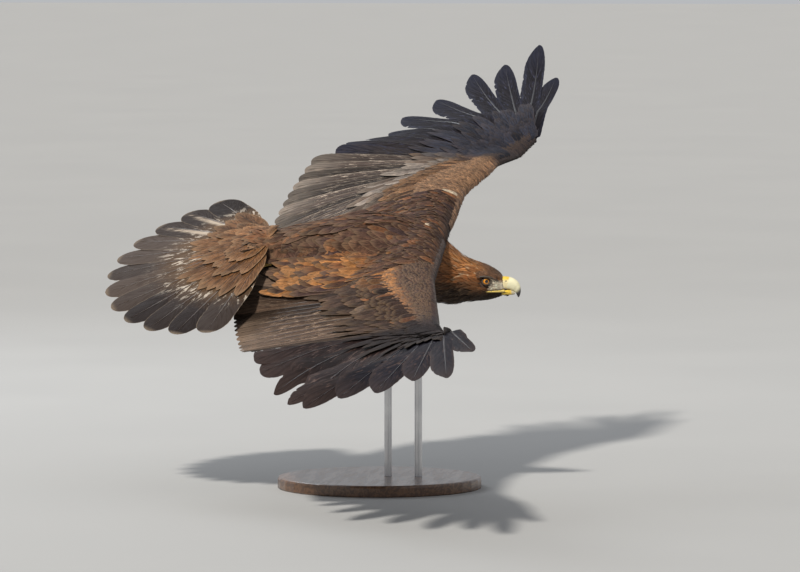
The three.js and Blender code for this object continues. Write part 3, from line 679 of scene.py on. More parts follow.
def feather_material(name, shaft, shaft_color, rim_share, streak, sheen, gloss, bars=0.0, shine=0.2,
                     contrast=0.55, mottle=0.0):
    """Vanes of their own tint with a shaft line, barb streaks and a paler or darker rim."""
    g = Graph(name)
    vane = Vane(g, 0.5)
    tint, edge = g.attribute("Tint"), g.attribute("Edge")
    lines = vane.streaks(streak)
    patch = g.noise(g.place(), 45.0)
    wide = g.math("MAXIMUM", g.span(vane.off, 0.5 - rim_share, 0.5),
                  g.span(vane.along, 1 - rim_share * 1.6, 1.0))
    color = g.mix(g.product(wide, g.span(lines, 0.30, 0.62)), tint, edge)
    color = g.mix(g.span(lines, 0.40, 0.66, 0.0, contrast), color, g.times(color, 0.25, 0.23, 0.24))
    color = g.mix(g.span(lines, 0.46, 0.30, 0.0, contrast), color, g.times(color, 1.7, 1.6, 1.5))
    color = g.mix(g.span(patch, 0.45, 0.7, 0.0, 0.35), color, g.times(color, 1.7, 1.6, 1.5))
    if bars:
        wave = g.math("SINE", g.product(g.total(vane.slant, g.product(lines, 0.05)), 60.0))
        dark = g.product(g.span(wave, 0.1, 0.8), bars)
        color = g.mix(dark, color, g.times(color, 0.45, 0.42, 0.42))
    if mottle:
        middle = g.product(g.span(vane.along, 0.30, 0.45), g.span(vane.along, 0.72, 0.86, 1.0, 0.0))
        spots = g.product(g.span(vane.spots(12.0, 4.0), 0.57, 0.63), middle)
        color = g.mix(g.product(spots, mottle), color, g.times(edge, 2.0, 1.9, 1.8))
    line = g.span(vane.off, 0.0, shaft, 1.0, 0.0)
    color = g.mix(g.product(line, 0.8), color, shaft_color)
    root = g.span(vane.along, 0.0, 0.35, 0.55, 1.0)
    color = g.mix(1.0, color, g.point(root, root, root), "MULTIPLY")
    g.bump(g.total(g.product(lines, 0.7), line), 0.55, 0.0012)
    return g.finish(color, g.span(lines, 0.3, 0.7, gloss, gloss + 0.2), Sheen_Weight=sheen,
                    Sheen_Roughness=0.4, Specular_IOR_Level=shine)


SMALL = feather_material("small_feathers", 0.09, (0.030, 0.017, 0.011), 0.16, 5.0, 0.06, 0.6)
FINE = feather_material("face_feathers", 0.10, (0.060, 0.028, 0.012), 0.2, 3.0, 0.06, 0.6, contrast=0.45)
FLIGHT = feather_material("flight_quills", 0.012, (0.022, 0.016, 0.014), 0.20, 26.0, 0.0, 0.52,
                          bars=0.45, shine=0.06, contrast=0.75, mottle=0.75)
COVERT = feather_material("coverts", 0.06, (0.028, 0.018, 0.014), 0.15, 9.0, 0.02, 0.58,
                          shine=0.09, contrast=0.75)


SAME = (1.0, 1.0, 1.0)


def grained(name, grain, first, second, relief, gloss, by=None, at=(0.3, 0.7), cover=None,
            tinted=False, stretch=None, **plain):
    """Two colours mixed by noise, a third over them in broad patches, and the fine noise as relief.

    A noise is given as scale, detail and roughness. The mix follows the noise by, or else the grain,
    over the span at. Where tinted, the two colours are shares of the piece's own tint.
    """
    g = Graph(name)
    fine = g.noise(g.stretched(*stretch) if stretch else g.place(), *grain)
    choice = g.noise(g.place(), *by) if by else fine
    if tinted:
        tint = g.attribute("Tint")
        first, second = g.times(tint, *first), g.times(tint, *second)
    color = g.mix(g.span(choice, *at), first, second)
    if cover:
        broad, share, third = cover
        color = g.mix(g.span(g.noise(g.place(), *broad), 0.5, 0.8, 0.0, share), color, third)
    if relief:
        g.bump(fine, *relief)
    return g.finish(color, g.span(fine, 0.3, 0.7, *gloss), **plain)


def grown(size, low, high):
    return RNG.uniform(low, high, size)


def jitter(colors, share):
    """Each feather a little lighter or darker than the next."""
    return np.clip(colors * (1 + RNG.normal(0, share, (len(colors), 1))), 0.004, 0.95)


def evenly(color, count):
    return np.repeat(color[None], count, 0)


def scatter(along, step_along, around, step_around):
    """Staggered rows of roots: along and around are (low, high) lengths."""
    rows = np.arange(along[0], along[1], step_along)
    found = []
    for i, at in enumerate(rows):
        cells = np.arange(around[0] + (i % 2) * step_around / 2, around[1], step_around)
        found.append(np.stack([np.full(len(cells), at), cells], -1))
    points = np.concatenate(found)
    points[:, 0] += RNG.uniform(-0.22, 0.22, len(points)) * step_along
    points[:, 1] += RNG.uniform(-0.22, 0.22, len(points)) * step_around
    return points


# Colours, as they look in full light
GOLD = plumage(196, 134, 76)
GOLD_DEEP = plumage(150, 92, 48)
TAWNY = plumage(172, 130, 96)
RUSSET = plumage(150, 98, 62)
BROWN = plumage(104, 74, 56)
DARK = plumage(56, 42, 36)
CHOCOLATE = plumage(62, 44, 36)
PURPLE = plumage(78, 60, 58)
# Dark feather colour with a painted blue sheen
SLATE = plumage(52, 54, 66)
BLACKISH = plumage(42, 36, 38)
CROWN = plumage(120, 88, 66)
# The throat's own dark brown, darkened further with painted shade under the chin
THROAT_AND_SHADE = plumage(40, 27, 20)
CHEEK = plumage(128, 82, 46)
LORES = srgb(244, 232, 206)
PALE = plumage(214, 202, 186)
BUFF = plumage(212, 178, 140)
CREAM = plumage(232, 216, 190)


def torso_colors(q, angle):
    """Golden nape and neck, dark throat and belly, brown back, pale skin between eye and bill. Where the
    neck faces down it takes the throat's colour, which is darkened further with painted shade.
    """
    up = np.sin(angle)
    nape = smooth(0.030, 0.085, q)
    side = smooth(-0.45, 0.25, up)
    back = blend_colors(evenly(DARK, len(q)), BROWN, smooth(-0.9, 0.6, up))
    mottled = RNG.random(len(q))
    back = blend_colors(back, PURPLE, 0.7 * (mottled < 0.35))
    rump = smooth(-0.200, -0.270, q) * smooth(-0.2, 0.5, up)
    back = blend_colors(back, RUSSET, rump * 0.8)
    gold = blend_colors(GOLD_DEEP, GOLD, smooth(0.1, 0.9, up) * RNG.random(len(q)))
    crown = smooth(0.112, 0.150, q) * smooth(0.2, 0.8, up)
    gold = blend_colors(gold, CROWN, crown)
    pale = (mottled > 0.86) * smooth(0.080, 0.10, q) * (1 - crown)
    gold = blend_colors(gold, BUFF, pale * 0.8)
    # Painted shade: where the neck faces down it takes the darkened throat colour
    gold = blend_colors(THROAT_AND_SHADE, gold, side)
    color = blend_colors(back, gold, nape)
    cheek = smooth(0.105, 0.125, q) * smooth(-0.75, -0.25, up) * smooth(0.15, -0.1, up)
    color = blend_colors(color, CHEEK, cheek * 0.8)
    lores = smooth(0.1385, 0.1450, q) * smooth(0.42, 0.22, up) * smooth(-0.50, -0.32, up)
    return blend_colors(color, LORES, lores)


def swung(angle, s, c):
    """Outward and forward steps to a point s along and c across a vane that swings out by angle."""
    return s * np.sin(angle) + c * np.cos(angle), c * np.sin(angle) - s * np.cos(angle)


def torso_coat(name, roots, length, width, form, lifts, splay, material, shades, rows=6,
               camber=0.0012, slot="head_plumage", edge_share=0.35, contrast=0.2):
    q0, angle0 = roots[:, 0], roots[:, 1]
    turn = RNG.normal(0, splay, len(q0))

    def place(i, s, c, h):
        round_step, ahead = swung(turn[i], s, c)
        return torso(q0[i] + ahead, angle0[i] + round_step / torso_radius(q0[i]), h)

    coat = Coat(name, rows, 3)
    tint = jitter(shades(q0, angle0), contrast)
    edge = blend_colors(tint, BUFF, edge_share)
    coat.add(place, length, width, roots, tint, edge, form, lifts, camber=camber)
    coat.build(slot, material)
    return coat


def ring_roots(q_low, q_high, step_of, width_of):
    """Rows of roots round the body, as close together as the feathers there are small."""
    q = q_low
    found = []
    while q < q_high:
        around = 2 * math.pi * float(torso_radius(np.array(q)))
        count = max(6, int(around / width_of(q)))
        stagger = (len(found) % 2) * 0.5 + RNG.uniform(-0.25, 0.25, count)
        angle = (np.arange(count) + stagger) / count * 2 * math.pi - math.pi
        found.append(np.stack([q + RNG.uniform(-0.25, 0.25, count) * step_of(q), angle], -1))
        q += step_of(q)
    return np.concatenate(found)


# Body coat, from the rump forward to the neck
body_roots = ring_roots(-0.300, 0.062, lambda q: 0.0115, lambda q: 0.0135)
long_share = smooth(0.05, -0.10, body_roots[:, 0])
body_coat = torso_coat(
    "coat_body", body_roots, (0.040 + 0.028 * long_share) * grown(len(body_roots), 0.75, 1.3),
    (0.015 + 0.007 * long_share) * grown(len(body_roots), 0.85, 1.2), (3.6, 0.7),
    (-0.003, 0.0045), 0.22, SMALL, torso_colors, slot="body_plumage", contrast=0.24,
)

# Neck hackles: narrow and pointed, paler along the tips
neck_roots = ring_roots(0.028, 0.122, lambda q: 0.0062, lambda q: 0.0062)
neck_coat = torso_coat(
    "coat_neck", neck_roots, 0.033 * grown(len(neck_roots), 0.8, 1.2),
    0.0095 * grown(len(neck_roots), 0.8, 1.15), (1.9, 0.95),
    (-0.001, 0.0055), 0.14, FINE, torso_colors, rows=7, edge_share=0.3, camber=0.0008,
)


def away_from_eye(roots, reach):
    """True where a feather, from its root back to its tip, stays clear of both eyes."""
    keep = np.ones(len(roots), dtype=bool)
    forward = roots[:, 0] - HEAD_FORWARD
    for side in (0, math.pi):
        across = (roots[:, 1] - side + math.pi) % (2 * math.pi) - math.pi
        height = across * HEAD_MEAN_RADIUS
        for share in (0, 0.5, 1.0):
            ahead = forward - reach * share
            keep &= (ahead / EYE_CLEAR[0]) ** 2 + (height / EYE_CLEAR[1]) ** 2 > 1
    return keep


def face_share(q):
    return float(smooth(0.12, 0.16, q))


# Head feathers shrink towards the bill and stop where the cere begins
HEAD_MEAN_RADIUS = 0.034
EYE_CLEAR = (0.0145, 0.0115)
head_roots = ring_roots(0.088, 0.1800, lambda q: 0.0034 - 0.0014 * face_share(q),
                        lambda q: 0.0034 - 0.0010 * face_share(q))
head_length = 0.0165 - 0.0105 * smooth(0.105, 0.158, head_roots[:, 0])
keep = away_from_eye(head_roots, head_length)
keep &= (head_roots[:, 0] < 0.1660) | (np.sin(head_roots[:, 1]) < -0.55)
head_roots, head_length = head_roots[keep], head_length[keep]
head_width = 0.0062 - 0.0030 * smooth(0.11, 0.158, head_roots[:, 0])
head_coat = torso_coat(
    "coat_head", head_roots, head_length * grown(len(head_roots), 0.8, 1.2),
    head_width * grown(len(head_roots), 0.85, 1.15), (2.4, 0.8),
    (-0.0008, 0.0020), 0.2, FINE, torso_colors, rows=5, edge_share=0.25, camber=0.0005,
)


# Wing feathers

def wing_place(wing, a0, f0, swing, side):
    """Vanes laid on one face of a wing; side is 1 for the upper face and -1 for the lower."""

    def place(i, s, c, h):
        out, ahead = swung(swing[i], s, c)
        a, f = a0[i] + out, f0[i] + ahead
        near, over = wing.behind(a, f)
        bead = np.clip(0.004 - (wing.front(a) - near), 0, 0.004)
        face = wing.upper(a, near) if side > 0 else wing.section(a, near)
        return wing.place(a, near + bead * 0.5 + 0.5 * h * (over > 0), side * (face + h - over))

    return place


def shaft_gaps(roots, swing, length, u):
    """Distance from points along each shaft to the next shaft out and to the next one in."""
    ahead = np.stack([np.sin(swing), -np.cos(swing)], -1)
    points = roots[:, None] + ahead[:, None] * (u[None, :, None] * length[:, None, None])
    outer = np.full(points.shape[:2], 0.024)
    inner = np.full(points.shape[:2], 0.050)

    def gap(first, second):
        away = points[first] - roots[second]
        return np.abs(away[:, 0] * ahead[second, 1] - away[:, 1] * ahead[second, 0])

    for i in range(len(roots)):
        if i + 1 < len(roots):
            outer[i] = gap(i, i + 1)
        if i > 0:
            inner[i] = gap(i, i - 1)
    return outer, inner


def remex_outline(wing, split, finger, width, swing, length):
    """Widths before and behind the shaft: wide in the closed web, notched and narrow in the fingers."""

    def outline(u):
        gap_out, gap_in = shaft_gaps(wing.root_line, swing, length, u)
        outer = np.clip(0.60 * gap_out + 0.004, 0.010, 0.046)
        inner = np.clip(0.86 * gap_in + 0.008, 0.016, 0.062)
        for i, share in enumerate(split):
            if finger[i]:
                notch = smooth(share - 0.12, share + 0.03, u)
                start, power, blunt, blunt_outer = (0.78 if wing.deeper else 0.70), 2.1, 0.85, 0.5
            else:
                notch = smooth(share - 0.25, 1.0, u) * 0.5
                start, power, blunt, blunt_outer = 0.88, 2.4, 0.5, 1.0
            outer[i] = outer[i] * (1 - notch) + width[i] * (0.5 - VANE_OFFSET) * notch * 1.1
            inner[i] = inner[i] * (1 - notch) + width[i] * (0.5 + VANE_OFFSET) * notch * 1.05
            tip = np.clip((u - start) / (1 - start), 0, 1)
            close = np.clip(1 - tip ** power, 0, 1) ** blunt
            inner[i] *= close
            outer[i] *= close ** blunt_outer
        opening = smooth(0.0, 0.08, u)[None]
        inner = inner * opening * (1 + RNG.normal(0, 0.012, inner.shape))
        outer = outer * opening * (1 + RNG.normal(0, 0.012, outer.shape))
        splits = RNG.random(inner.shape) < 0.06
        inner = np.where(splits, inner * RNG.uniform(0.78, 0.95, inner.shape), inner)
        half = width[:, None] / 2
        return np.clip(inner, 0.0008, None) / half, np.clip(outer, 0.0008, None) / half

    return outline


def strips(count):
    """A chart and patch size that give each large feather a strip of the bake map of its own."""
    return np.stack([np.arange(count), np.zeros(count)], -1), (0.7 / count, 0.96)


def flight_feathers(wing, nodes, tint_of, edge_of):
    items = wing.remiges
    count = len(items)
    a0, f0 = np.array([r["root"] for r in items]).T
    swing = np.array([r["swing"] for r in items]) * DEG
    length = np.array([r["length"] for r in items])
    width = np.array([r["width"] for r in items])
    split = np.array([r["split"] for r in items])
    finger = np.array([r["kind"] == "primary" and r["k"] >= 3 for r in items])

    def place(i, s, c, h):
        out, ahead = swung(swing[i], s, c)
        return wing.place(a0[i] + out, f0[i] + ahead, h)

    coat = Coat("flight_" + wing.name, 72, 9)
    tint = np.array([tint_of(r) for r in items])
    edge = np.array([edge_of(r) for r in items])
    chart, strip = strips(count)
    turned = np.array([wing.turn * math.sin(math.pi * np.clip((r["k"] - 1.5) / 8, 0, 1)) if f else 0
                       for r, f in zip(items, finger)])

    def twist(u):
        return 0.022 + turned[:, None] * smooth(0, 0.45, u[None] - (split[:, None] - 0.30))

    coat.add(place, length, width, chart, tint, edge, lifts=(0.0, 0.0006), camber=0.0016, thickness=0.0009,
             outline=remex_outline(wing, split, finger, width, swing, length), tilt=twist)
    coat.build("flight_feathers", FLIGHT, *nodes, patch=strip)
    rachis = Coat("shafts_" + wing.name, 24, 5)
    rachis.add(place, length * 0.97, np.full(count, 0.0052), chart, tint * 0.5, tint * 0.6,
               lifts=(0.0018, 0.0010), camber=0.0016, thickness=0.0036, form=(1.3, 0.9), rough=0.0)
    rachis.build("flight_feathers", QUILL, patch=strip)


QUILL = grained("shafts", (60.0,), SAME, (1.8, 1.7, 1.6), (0.1,), (0.3, 0.42), at=(0.35, 0.7), tinted=True)


# Colours of one flight feather each: the vane's tint, then its rim

def left_tint(r):
    outer, inner = plumage(38, 35, 42), plumage(66, 60, 60)
    if r["kind"] == "primary":
        return outer + (inner - outer) * max(0.0, (4 - r["k"]) / 4)
    return plumage(96, 84, 78) * (0.35 + 0.9 * RNG.random())


def right_tint(r):
    if r["kind"] == "primary":
        shade = plumage(34, 32, 42) if r["k"] > 5 else plumage(44, 33, 33)
        return shade * (0.7 + 0.5 * RNG.random())
    return plumage(104, 84, 70) * (0.25 + 1.0 * RNG.random())


def left_edge(r):
    if r["kind"] == "primary":
        # Painted sheen: the far primaries' rims are blue-grey, a painted reflection of the sky
        return plumage(54, 58, 78)
    return plumage(204, 192, 178) * (0.25 + 0.75 * RNG.random())


def right_edge(r):
    if r["kind"] == "primary":
        return plumage(84, 70, 66)
    return plumage(190, 166, 144) * (0.10 + 0.90 * RNG.random())


for wing, tint_of, edge_of in ((LEFT, left_tint, left_edge), (RIGHT, right_tint, right_edge)):
    arm_nodes = ["wing_" + wing.name + part for part in ("_upper_arm", "_forearm", "_hand")]
    flight_feathers(wing, arm_nodes, tint_of, edge_of)


def covert_layer(coat, wing, t_range, v, step, length, width, lifts, colors, side=1, extra_swing=0.0,
                 form=(5, 0.6), splay=0.06, edge_color=BUFF, edge_share=0.4, contrast=0.14):
    """One row of feathers across a wing at share v between the leading edge and the quill roots."""
    run = t_range[1] - t_range[0]
    count = max(2, int(run * wing.root_span / step))
    t = np.linspace(t_range[0], t_range[1], count) + RNG.uniform(-0.25, 0.25, count) * run / count
    t = np.clip(t, 0, 1)
    vs = np.full(count, v) + RNG.uniform(-0.012, 0.012, count)
    a0, f0 = wing.at(t, vs).T
    swing = wing.swing_at(t) * (0.35 + 0.65 * min(v, 1)) + extra_swing + RNG.normal(0, splay, count)
    reach = length * grown(count, 0.88, 1.12)
    wide = width * grown(count, 0.9, 1.1)
    tint = jitter(colors(t, vs), contrast)
    on_hand = smooth(wing.hand_t - 0.05, wing.hand_t + 0.03, t)
    edge = blend_colors(tint, edge_color, edge_share * (1 - 0.8 * on_hand))
    chart = np.stack([t, np.full(count, v)], -1)
    coat.add(wing_place(wing, a0, f0, swing, side), reach, wide, chart, tint, edge, form, lifts,
             camber=0.0014)


def wing_coats(wing, far):
    """Upper coverts in their ranks, the alula, and the ranks under the wing. The far and the near wing get
    different colours for the same ranks, the far wing's mostly paler: the difference is painted light and
    shade.
    """
    big = Coat("coverts_great_" + wing.name, 14, 5)
    fine = Coat("coverts_small_" + wing.name, 6, 3)
    hand_t = wing.hand_t
    whole, arm, hand = (0.0, 1.0), (0.0, hand_t), (hand_t - 0.02, 1.0)
    hand_color = (SLATE if far else BLACKISH)

    def lesser(t, v):
        lot = RNG.random(len(t))
        base = evenly(TAWNY if far else RUSSET, len(t))
        base = blend_colors(base, (BROWN if far else PURPLE), 0.75 * (lot < 0.4))
        if not far:
            # Painted shade: on the near wing the lesser coverts darken towards the leading edge
            base = blend_colors(base, plumage(72, 56, 54), 0.9 * smooth(0.44, 0.24, v))
            bright = smooth(0.34, 0.46, v) * smooth(0.50, 0.36, t) * (lot > 0.35)
            base = blend_colors(base, GOLD, 0.75 * bright)
        on_hand = smooth(hand_t - (0.05 if far else 0.16), hand_t + 0.03, t)
        return blend_colors(base, (plumage(38, 37, 46) if far else plumage(40, 38, 48)), on_hand * 0.92)

    def median(t, v):
        lot = RNG.random(len(t))
        base = evenly(plumage(132, 98, 70) if far else CHOCOLATE, len(t))
        if far:
            base = blend_colors(base, CHOCOLATE, 0.7 * (lot < 0.35))
        else:
            bright = (lot < 0.6) * smooth(0.40, 0.22, t) * smooth(0.80, 0.70, v)
            base = blend_colors(base, GOLD, 0.75 * bright)
            base = blend_colors(base, RUSSET, 0.8 * (lot > 0.85))
        return blend_colors(base, hand_color, smooth(hand_t - 0.10, hand_t + 0.04, t))

    def greater(t, v):
        lot = RNG.random(len(t))
        base = evenly(plumage(118, 102, 90) if far else plumage(74, 56, 46), len(t))
        pale = plumage(160, 150, 142) if far else plumage(136, 116, 100)
        base = blend_colors(base, pale, 0.7 * (lot < (0.35 if far else 0.16)))
        return blend_colors(base, hand_color, smooth(hand_t - 0.05, hand_t + 0.03, t))

    def under_great(t, v):
        return evenly((SLATE if far else DARK) * 1.5, len(t))

    def under_small(t, v):
        return blend_colors(BROWN, plumage(42, 38, 44), smooth(hand_t - 0.06, hand_t + 0.04, t))

    # Greater coverts over the secondaries and tertials, then over the primaries
    rim, rim_share = (PALE, 0.4) if far else (BUFF, 0.26)
    for v, step, long, wide, rise in ((0.95, 0.015, 0.158, 0.030, 0.0035),
                                      (0.88, 0.013, 0.108, 0.026, 0.0048)):
        covert_layer(big, wing, arm, v, step, long, wide, (0.002, rise), greater,
                     edge_share=rim_share, edge_color=rim, contrast=0.3)
    for v, long, wide, rise in ((0.94, 0.185, 0.030, 0.003), (0.84, 0.125, 0.026, 0.0045),
                                (0.74, 0.085, 0.022, 0.006)):
        covert_layer(big, wing, hand, v, 0.010, long, wide, (0.002, rise), greater,
                     edge_share=0.42, contrast=0.2)
    # Median coverts
    for i, v in enumerate((0.82, 0.75, 0.68)):
        covert_layer(big, wing, whole, v, 0.011, 0.074 - 0.008 * i, 0.023, (0.002, 0.0058 + 0.0006 * i),
                     median, edge_share=0.35, contrast=0.26, splay=0.09)
    # Lesser coverts, rank over rank, smaller towards the leading edge
    ranks = np.linspace(0.63, -0.10, 25)
    for i, v in enumerate(ranks):
        small = 1 - i / (len(ranks) - 1)
        covert_layer(fine, wing, whole, v, 0.0054 + 0.003 * small, 0.018 + 0.024 * small,
                     0.0095 + 0.0065 * small, (0.0005, 0.0042), lesser,
                     splay=0.12, edge_share=0.45, contrast=0.2)
    # The stiff feathers of the alula at the wrist
    for k in range(4):
        start = hand_t + 0.022 * k
        covert_layer(big, wing, (start + 0.02, start + 0.035), 0.16, 0.008, 0.115 - 0.016 * k, 0.022,
                     (0.003, 0.006 + 0.001 * k), median, extra_swing=0.35,
                     form=(3, 0.6), splay=0.02, edge_share=0.2)
    # Under the wing
    for v, step, long, wide in ((0.92, 0.020, 0.120, 0.036), (0.80, 0.016, 0.075, 0.028)):
        covert_layer(big, wing, whole, v, step, long, wide, (0.002, 0.003), under_great,
                     side=-1, edge_share=0.25)
    for v in np.linspace(0.68, 0.02, 11):
        covert_layer(fine, wing, whole, v, 0.0125, 0.040, 0.019, (0.0005, 0.003), under_small,
                     side=-1, splay=0.12, edge_share=0.3)
    big.build("flight_feathers", COVERT)
    fine.build("body_plumage", SMALL)
    return [big, fine]


wing_coverts = wing_coats(LEFT, True) + wing_coats(RIGHT, False)


def scapulars(wing):
    """Long feathers that run from the shoulder over the joint of wing and back."""
    coat = Coat("scapulars_" + wing.name, 12, 5)
    roots = np.concatenate([
        scatter((-0.170, 0.078), 0.0125, (-0.082, 0.110), 0.0130),
        scatter((-0.215, -0.120), 0.0170, (-0.080, 0.085), 0.0150),
    ])
    f0, a0 = roots.T
    count = len(roots)
    swing = (-12 + 70 * (a0 - 0.02)) * DEG + RNG.normal(0, 0.08, count)
    share = smooth(0.05, -0.13, f0)
    length = (0.036 + 0.080 * share) * grown(count, 0.75, 1.3)
    width = (0.015 + 0.013 * share) * grown(count, 0.8, 1.2)
    base = blend_colors(BROWN, PURPLE, RNG.random(count))
    base = blend_colors(base, RUSSET, 0.6 * (RNG.random(count) < 0.16))
    base = blend_colors(base, CHOCOLATE, 0.8 * (RNG.random(count) < 0.2))
    if wing is RIGHT:
        inner = smooth(0.0, 0.05, a0) * smooth(-0.02, -0.08, f0) * (RNG.random(count) < 0.6)
        base = blend_colors(base, GOLD, 0.75 * inner)
    tint = jitter(base, 0.16)
    tint = blend_colors(tint, CREAM, 0.9 * (RNG.random(count) < 0.006))

    def place(i, s, c, h):
        out, ahead = swung(swing[i], s, c)
        a, f = a0[i] + out, f0[i] + ahead
        near, over = wing.behind(a, f)
        return wing.place(a, near, wing.upper(a, near) + h - over)

    coat.add(place, length, width, np.stack([a0, f0], -1), tint, blend_colors(tint, BUFF, 0.36), (4, 0.65),
             (0.003, 0.009), camber=0.002)
    coat.build("body_plumage", COVERT)
    return coat


shoulder_coats = [scapulars(LEFT), scapulars(RIGHT)]


# Tail

# Each tail feather leans a little and lies lower than the next one in
TAIL_LEAN = 0.045
TAIL_STEP = 0.0011
# Coverts at the tail's base: forward of the quill roots, length, width
TAIL_COVERTS = [(0.030, 0.150, 0.040), (0.012, 0.120, 0.036), (-0.008, 0.095, 0.032), (-0.028, 0.075, 0.028)]


def tail_feathers():
    angles = (np.arange(RECTRICES) + 0.5) / RECTRICES * 2 * TAIL_HALF_FAN - TAIL_HALF_FAN
    length = TAIL_LENGTH[0] + (TAIL_LENGTH[1] - TAIL_LENGTH[0]) * (angles / TAIL_HALF_FAN) ** 2
    order = np.abs(np.arange(RECTRICES) - (RECTRICES - 1) / 2)
    lean = -np.sign(angles) * TAIL_LEAN

    def place(i, s, c, h):
        sunk = TAIL_STEP * order[i] * (1 - 0.4 * s / 0.35)
        return tail_place(*swung(angles[i], s, c), h - sunk + lean[i] * c + 0.004)

    def outline(u):
        base = 0.30 + 0.70 * smooth(0.10, 0.62, u)
        tip = np.clip((u - 0.84) / 0.16, 0, 1)
        close = np.sqrt(np.clip(1 - tip ** 2.4, 0, 1))
        half = np.repeat((base * close)[None], RECTRICES, 0)
        left = half * (1 + RNG.normal(0, 0.012, half.shape))
        right = half * (1 + RNG.normal(0, 0.012, half.shape))
        return np.clip(left * 1.12, 0.04, None), np.clip(right * 1.12, 0.04, None)

    coat = Coat("flight_tail", 60, 9)
    tint = jitter(evenly(plumage(112, 88, 66), RECTRICES), 0.15)
    edge = evenly(plumage(176, 160, 138), RECTRICES)
    edge[STRIPED] = CREAM * 1.3
    chart, strip = strips(RECTRICES)
    coat.add(place, length, np.full(RECTRICES, TAIL_WIDTH), chart, tint, edge, lifts=(0, 0.0005),
             camber=0.0016, thickness=0.0009, outline=outline)
    coat.build("flight_feathers", TAIL, "tail", patch=strip)
    rachis = Coat("shafts_tail", 24, 5)
    rachis.add(place, length * 0.96, np.full(RECTRICES, 0.0046), chart, tint * 0.4, tint * 0.5,
               lifts=(0.0016, 0.0009), camber=0.0014, thickness=0.0032, form=(1.3, 0.9), rough=0.0)
    rachis.build("flight_feathers", QUILL, patch=strip)


def tail_coverts():
    covers = Coat("coverts_tail", 8, 3)
    for side in (1, -1):
        for row, (reach, long, wide) in enumerate(TAIL_COVERTS):
            count = 20 - 2 * row
            turn = np.linspace(-1.05, 1.05, count) * (TAIL_HALF_FAN * (0.92 - 0.14 * row))
            turn = turn + RNG.normal(0, 0.04, count)

            def lay(i, s, c, h):
                far = reach + 0.02 + s
                rise = 0.006 + 0.005 * row + 0.016 * smooth(0.10, -0.03, far)
                return tail_place(*swung(turn[i], far, c), side * (rise + h))

            shade = (plumage(136, 96, 62) if side > 0 else BROWN) * (0.75 + 0.12 * row)
            tint = jitter(evenly(shade, count), 0.2)
            chart = np.stack([turn, np.full(count, row + 5.0 * (side < 0))], -1)
            covers.add(lay, long * grown(count, 0.85, 1.15), wide * grown(count, 0.9, 1.1), chart,
                       tint, blend_colors(tint, BUFF, 0.5), (5, 0.6), (0.001, -0.002))
    covers.build("body_plumage", COVERT)
    return covers


def tail_material():
    """Dark tips, brown bases, pale mottles over the inner half and a stripe that wanders."""
    g = Graph("tail_quills")
    vane = Vane(g, 0.35)
    tint, edge = g.attribute("Tint"), g.attribute("Edge")
    lines = vane.streaks(22.0)
    spot = vane.spots(7.0, 3.0)
    dark_tip = g.span(g.total(vane.along, g.product(spot, 0.30)), 0.66, 0.90)
    lot = g.math("FRACT", g.product(vane.lot, 7.0))
    tip = g.mix(g.span(lot, 0.2, 0.9), (0.016, 0.011, 0.010), (0.062, 0.045, 0.036))
    color = g.mix(dark_tip, tint, tip)
    wander = g.total(vane.across, g.product(g.math("SUBTRACT", lines, 0.5), 0.16))
    band = g.product(g.span(wander, 0.49, 0.56), g.span(wander, 0.60, 0.74, 1.0, 0.0))
    reach = g.product(band, g.span(g.total(vane.along, lines), 1.20, 1.42, 1.0, 0.0))
    lit = g.span(g.node("ShaderNodeSeparateColor", Color=edge).outputs[0], 0.4, 0.5)
    color = g.mix(g.product(reach, lit), color, (0.40, 0.33, 0.26))
    mottle = g.product(g.span(spot, 0.54, 0.60), g.span(vane.along, 0.55, 0.80, 1.0, 0.0))
    color = g.mix(mottle, color, (0.46, 0.40, 0.33))
    color = g.mix(g.span(lines, 0.4, 0.75, 0.0, 0.6), color, g.times(color, 0.4, 0.37, 0.36))
    rim = g.math("MAXIMUM", g.span(vane.off, 0.47, 0.5), g.span(vane.along, 0.965, 1.0))
    color = g.mix(g.product(rim, g.span(lines, 0.3, 0.7, 0.15, 0.7)), color, (0.27, 0.21, 0.15))
    line = g.span(vane.off, 0.0, 0.012, 1.0, 0.0)
    color = g.mix(g.product(line, 0.8), color, (0.05, 0.035, 0.026))
    g.bump(g.total(lines, line), 0.5, 0.0012)
    return g.finish(color, g.span(lines, 0.3, 0.7, 0.5, 0.68), Specular_IOR_Level=0.05)


TAIL = tail_material()
tail_feathers()
tail_covers = tail_coverts()


# Legs: feathered thighs and shanks
LEG_RINGS = np.array(THIGH_RINGS + TARSUS_RINGS[1:])[::-1]
LEG_MEAN_RADIUS = 0.022


def leg_point(side, along, angle, lift):
    up = np.interp(along, LEG_RINGS[:, 0], LEG_RINGS[:, 1])
    radius = np.interp(along, LEG_RINGS[:, 0], LEG_RINGS[:, 2]) + lift
    right = side * LEG_SIDE + radius * 0.85 * np.cos(angle)
    return roll_place(right, along, up + radius * np.sin(angle))


leg_coat = Coat("coat_legs", 6, 3)
for leg in (-1, 1):
    roots = scatter((-0.312, -0.100), 0.010, (-math.pi, math.pi), 0.55)
    along0, angle0 = roots.T
    thin = smooth(-0.20, -0.26, along0)
    twist = RNG.normal(0, 0.12, len(roots))

    def leg_place(i, s, c, h):
        turned = (c + s * np.sin(twist[i])) / LEG_MEAN_RADIUS
        return leg_point(leg, along0[i] - s, angle0[i] + turned, h)

    tint = jitter(blend_colors(DARK, BROWN, smooth(-0.5, 0.5, np.sin(angle0))), 0.18)
    chart = np.stack([along0, angle0 + 7 * leg], -1)
    leg_coat.add(leg_place, (0.034 - 0.016 * thin) * grown(len(roots), 0.85, 1.15),
                 (0.018 - 0.007 * thin) * grown(len(roots), 0.9, 1.1), chart,
                 tint, blend_colors(tint, BUFF, 0.25), (4, 0.7), (-0.002, 0.003))
leg_coat.build("body_plumage", SMALL)


# One skin under the coat

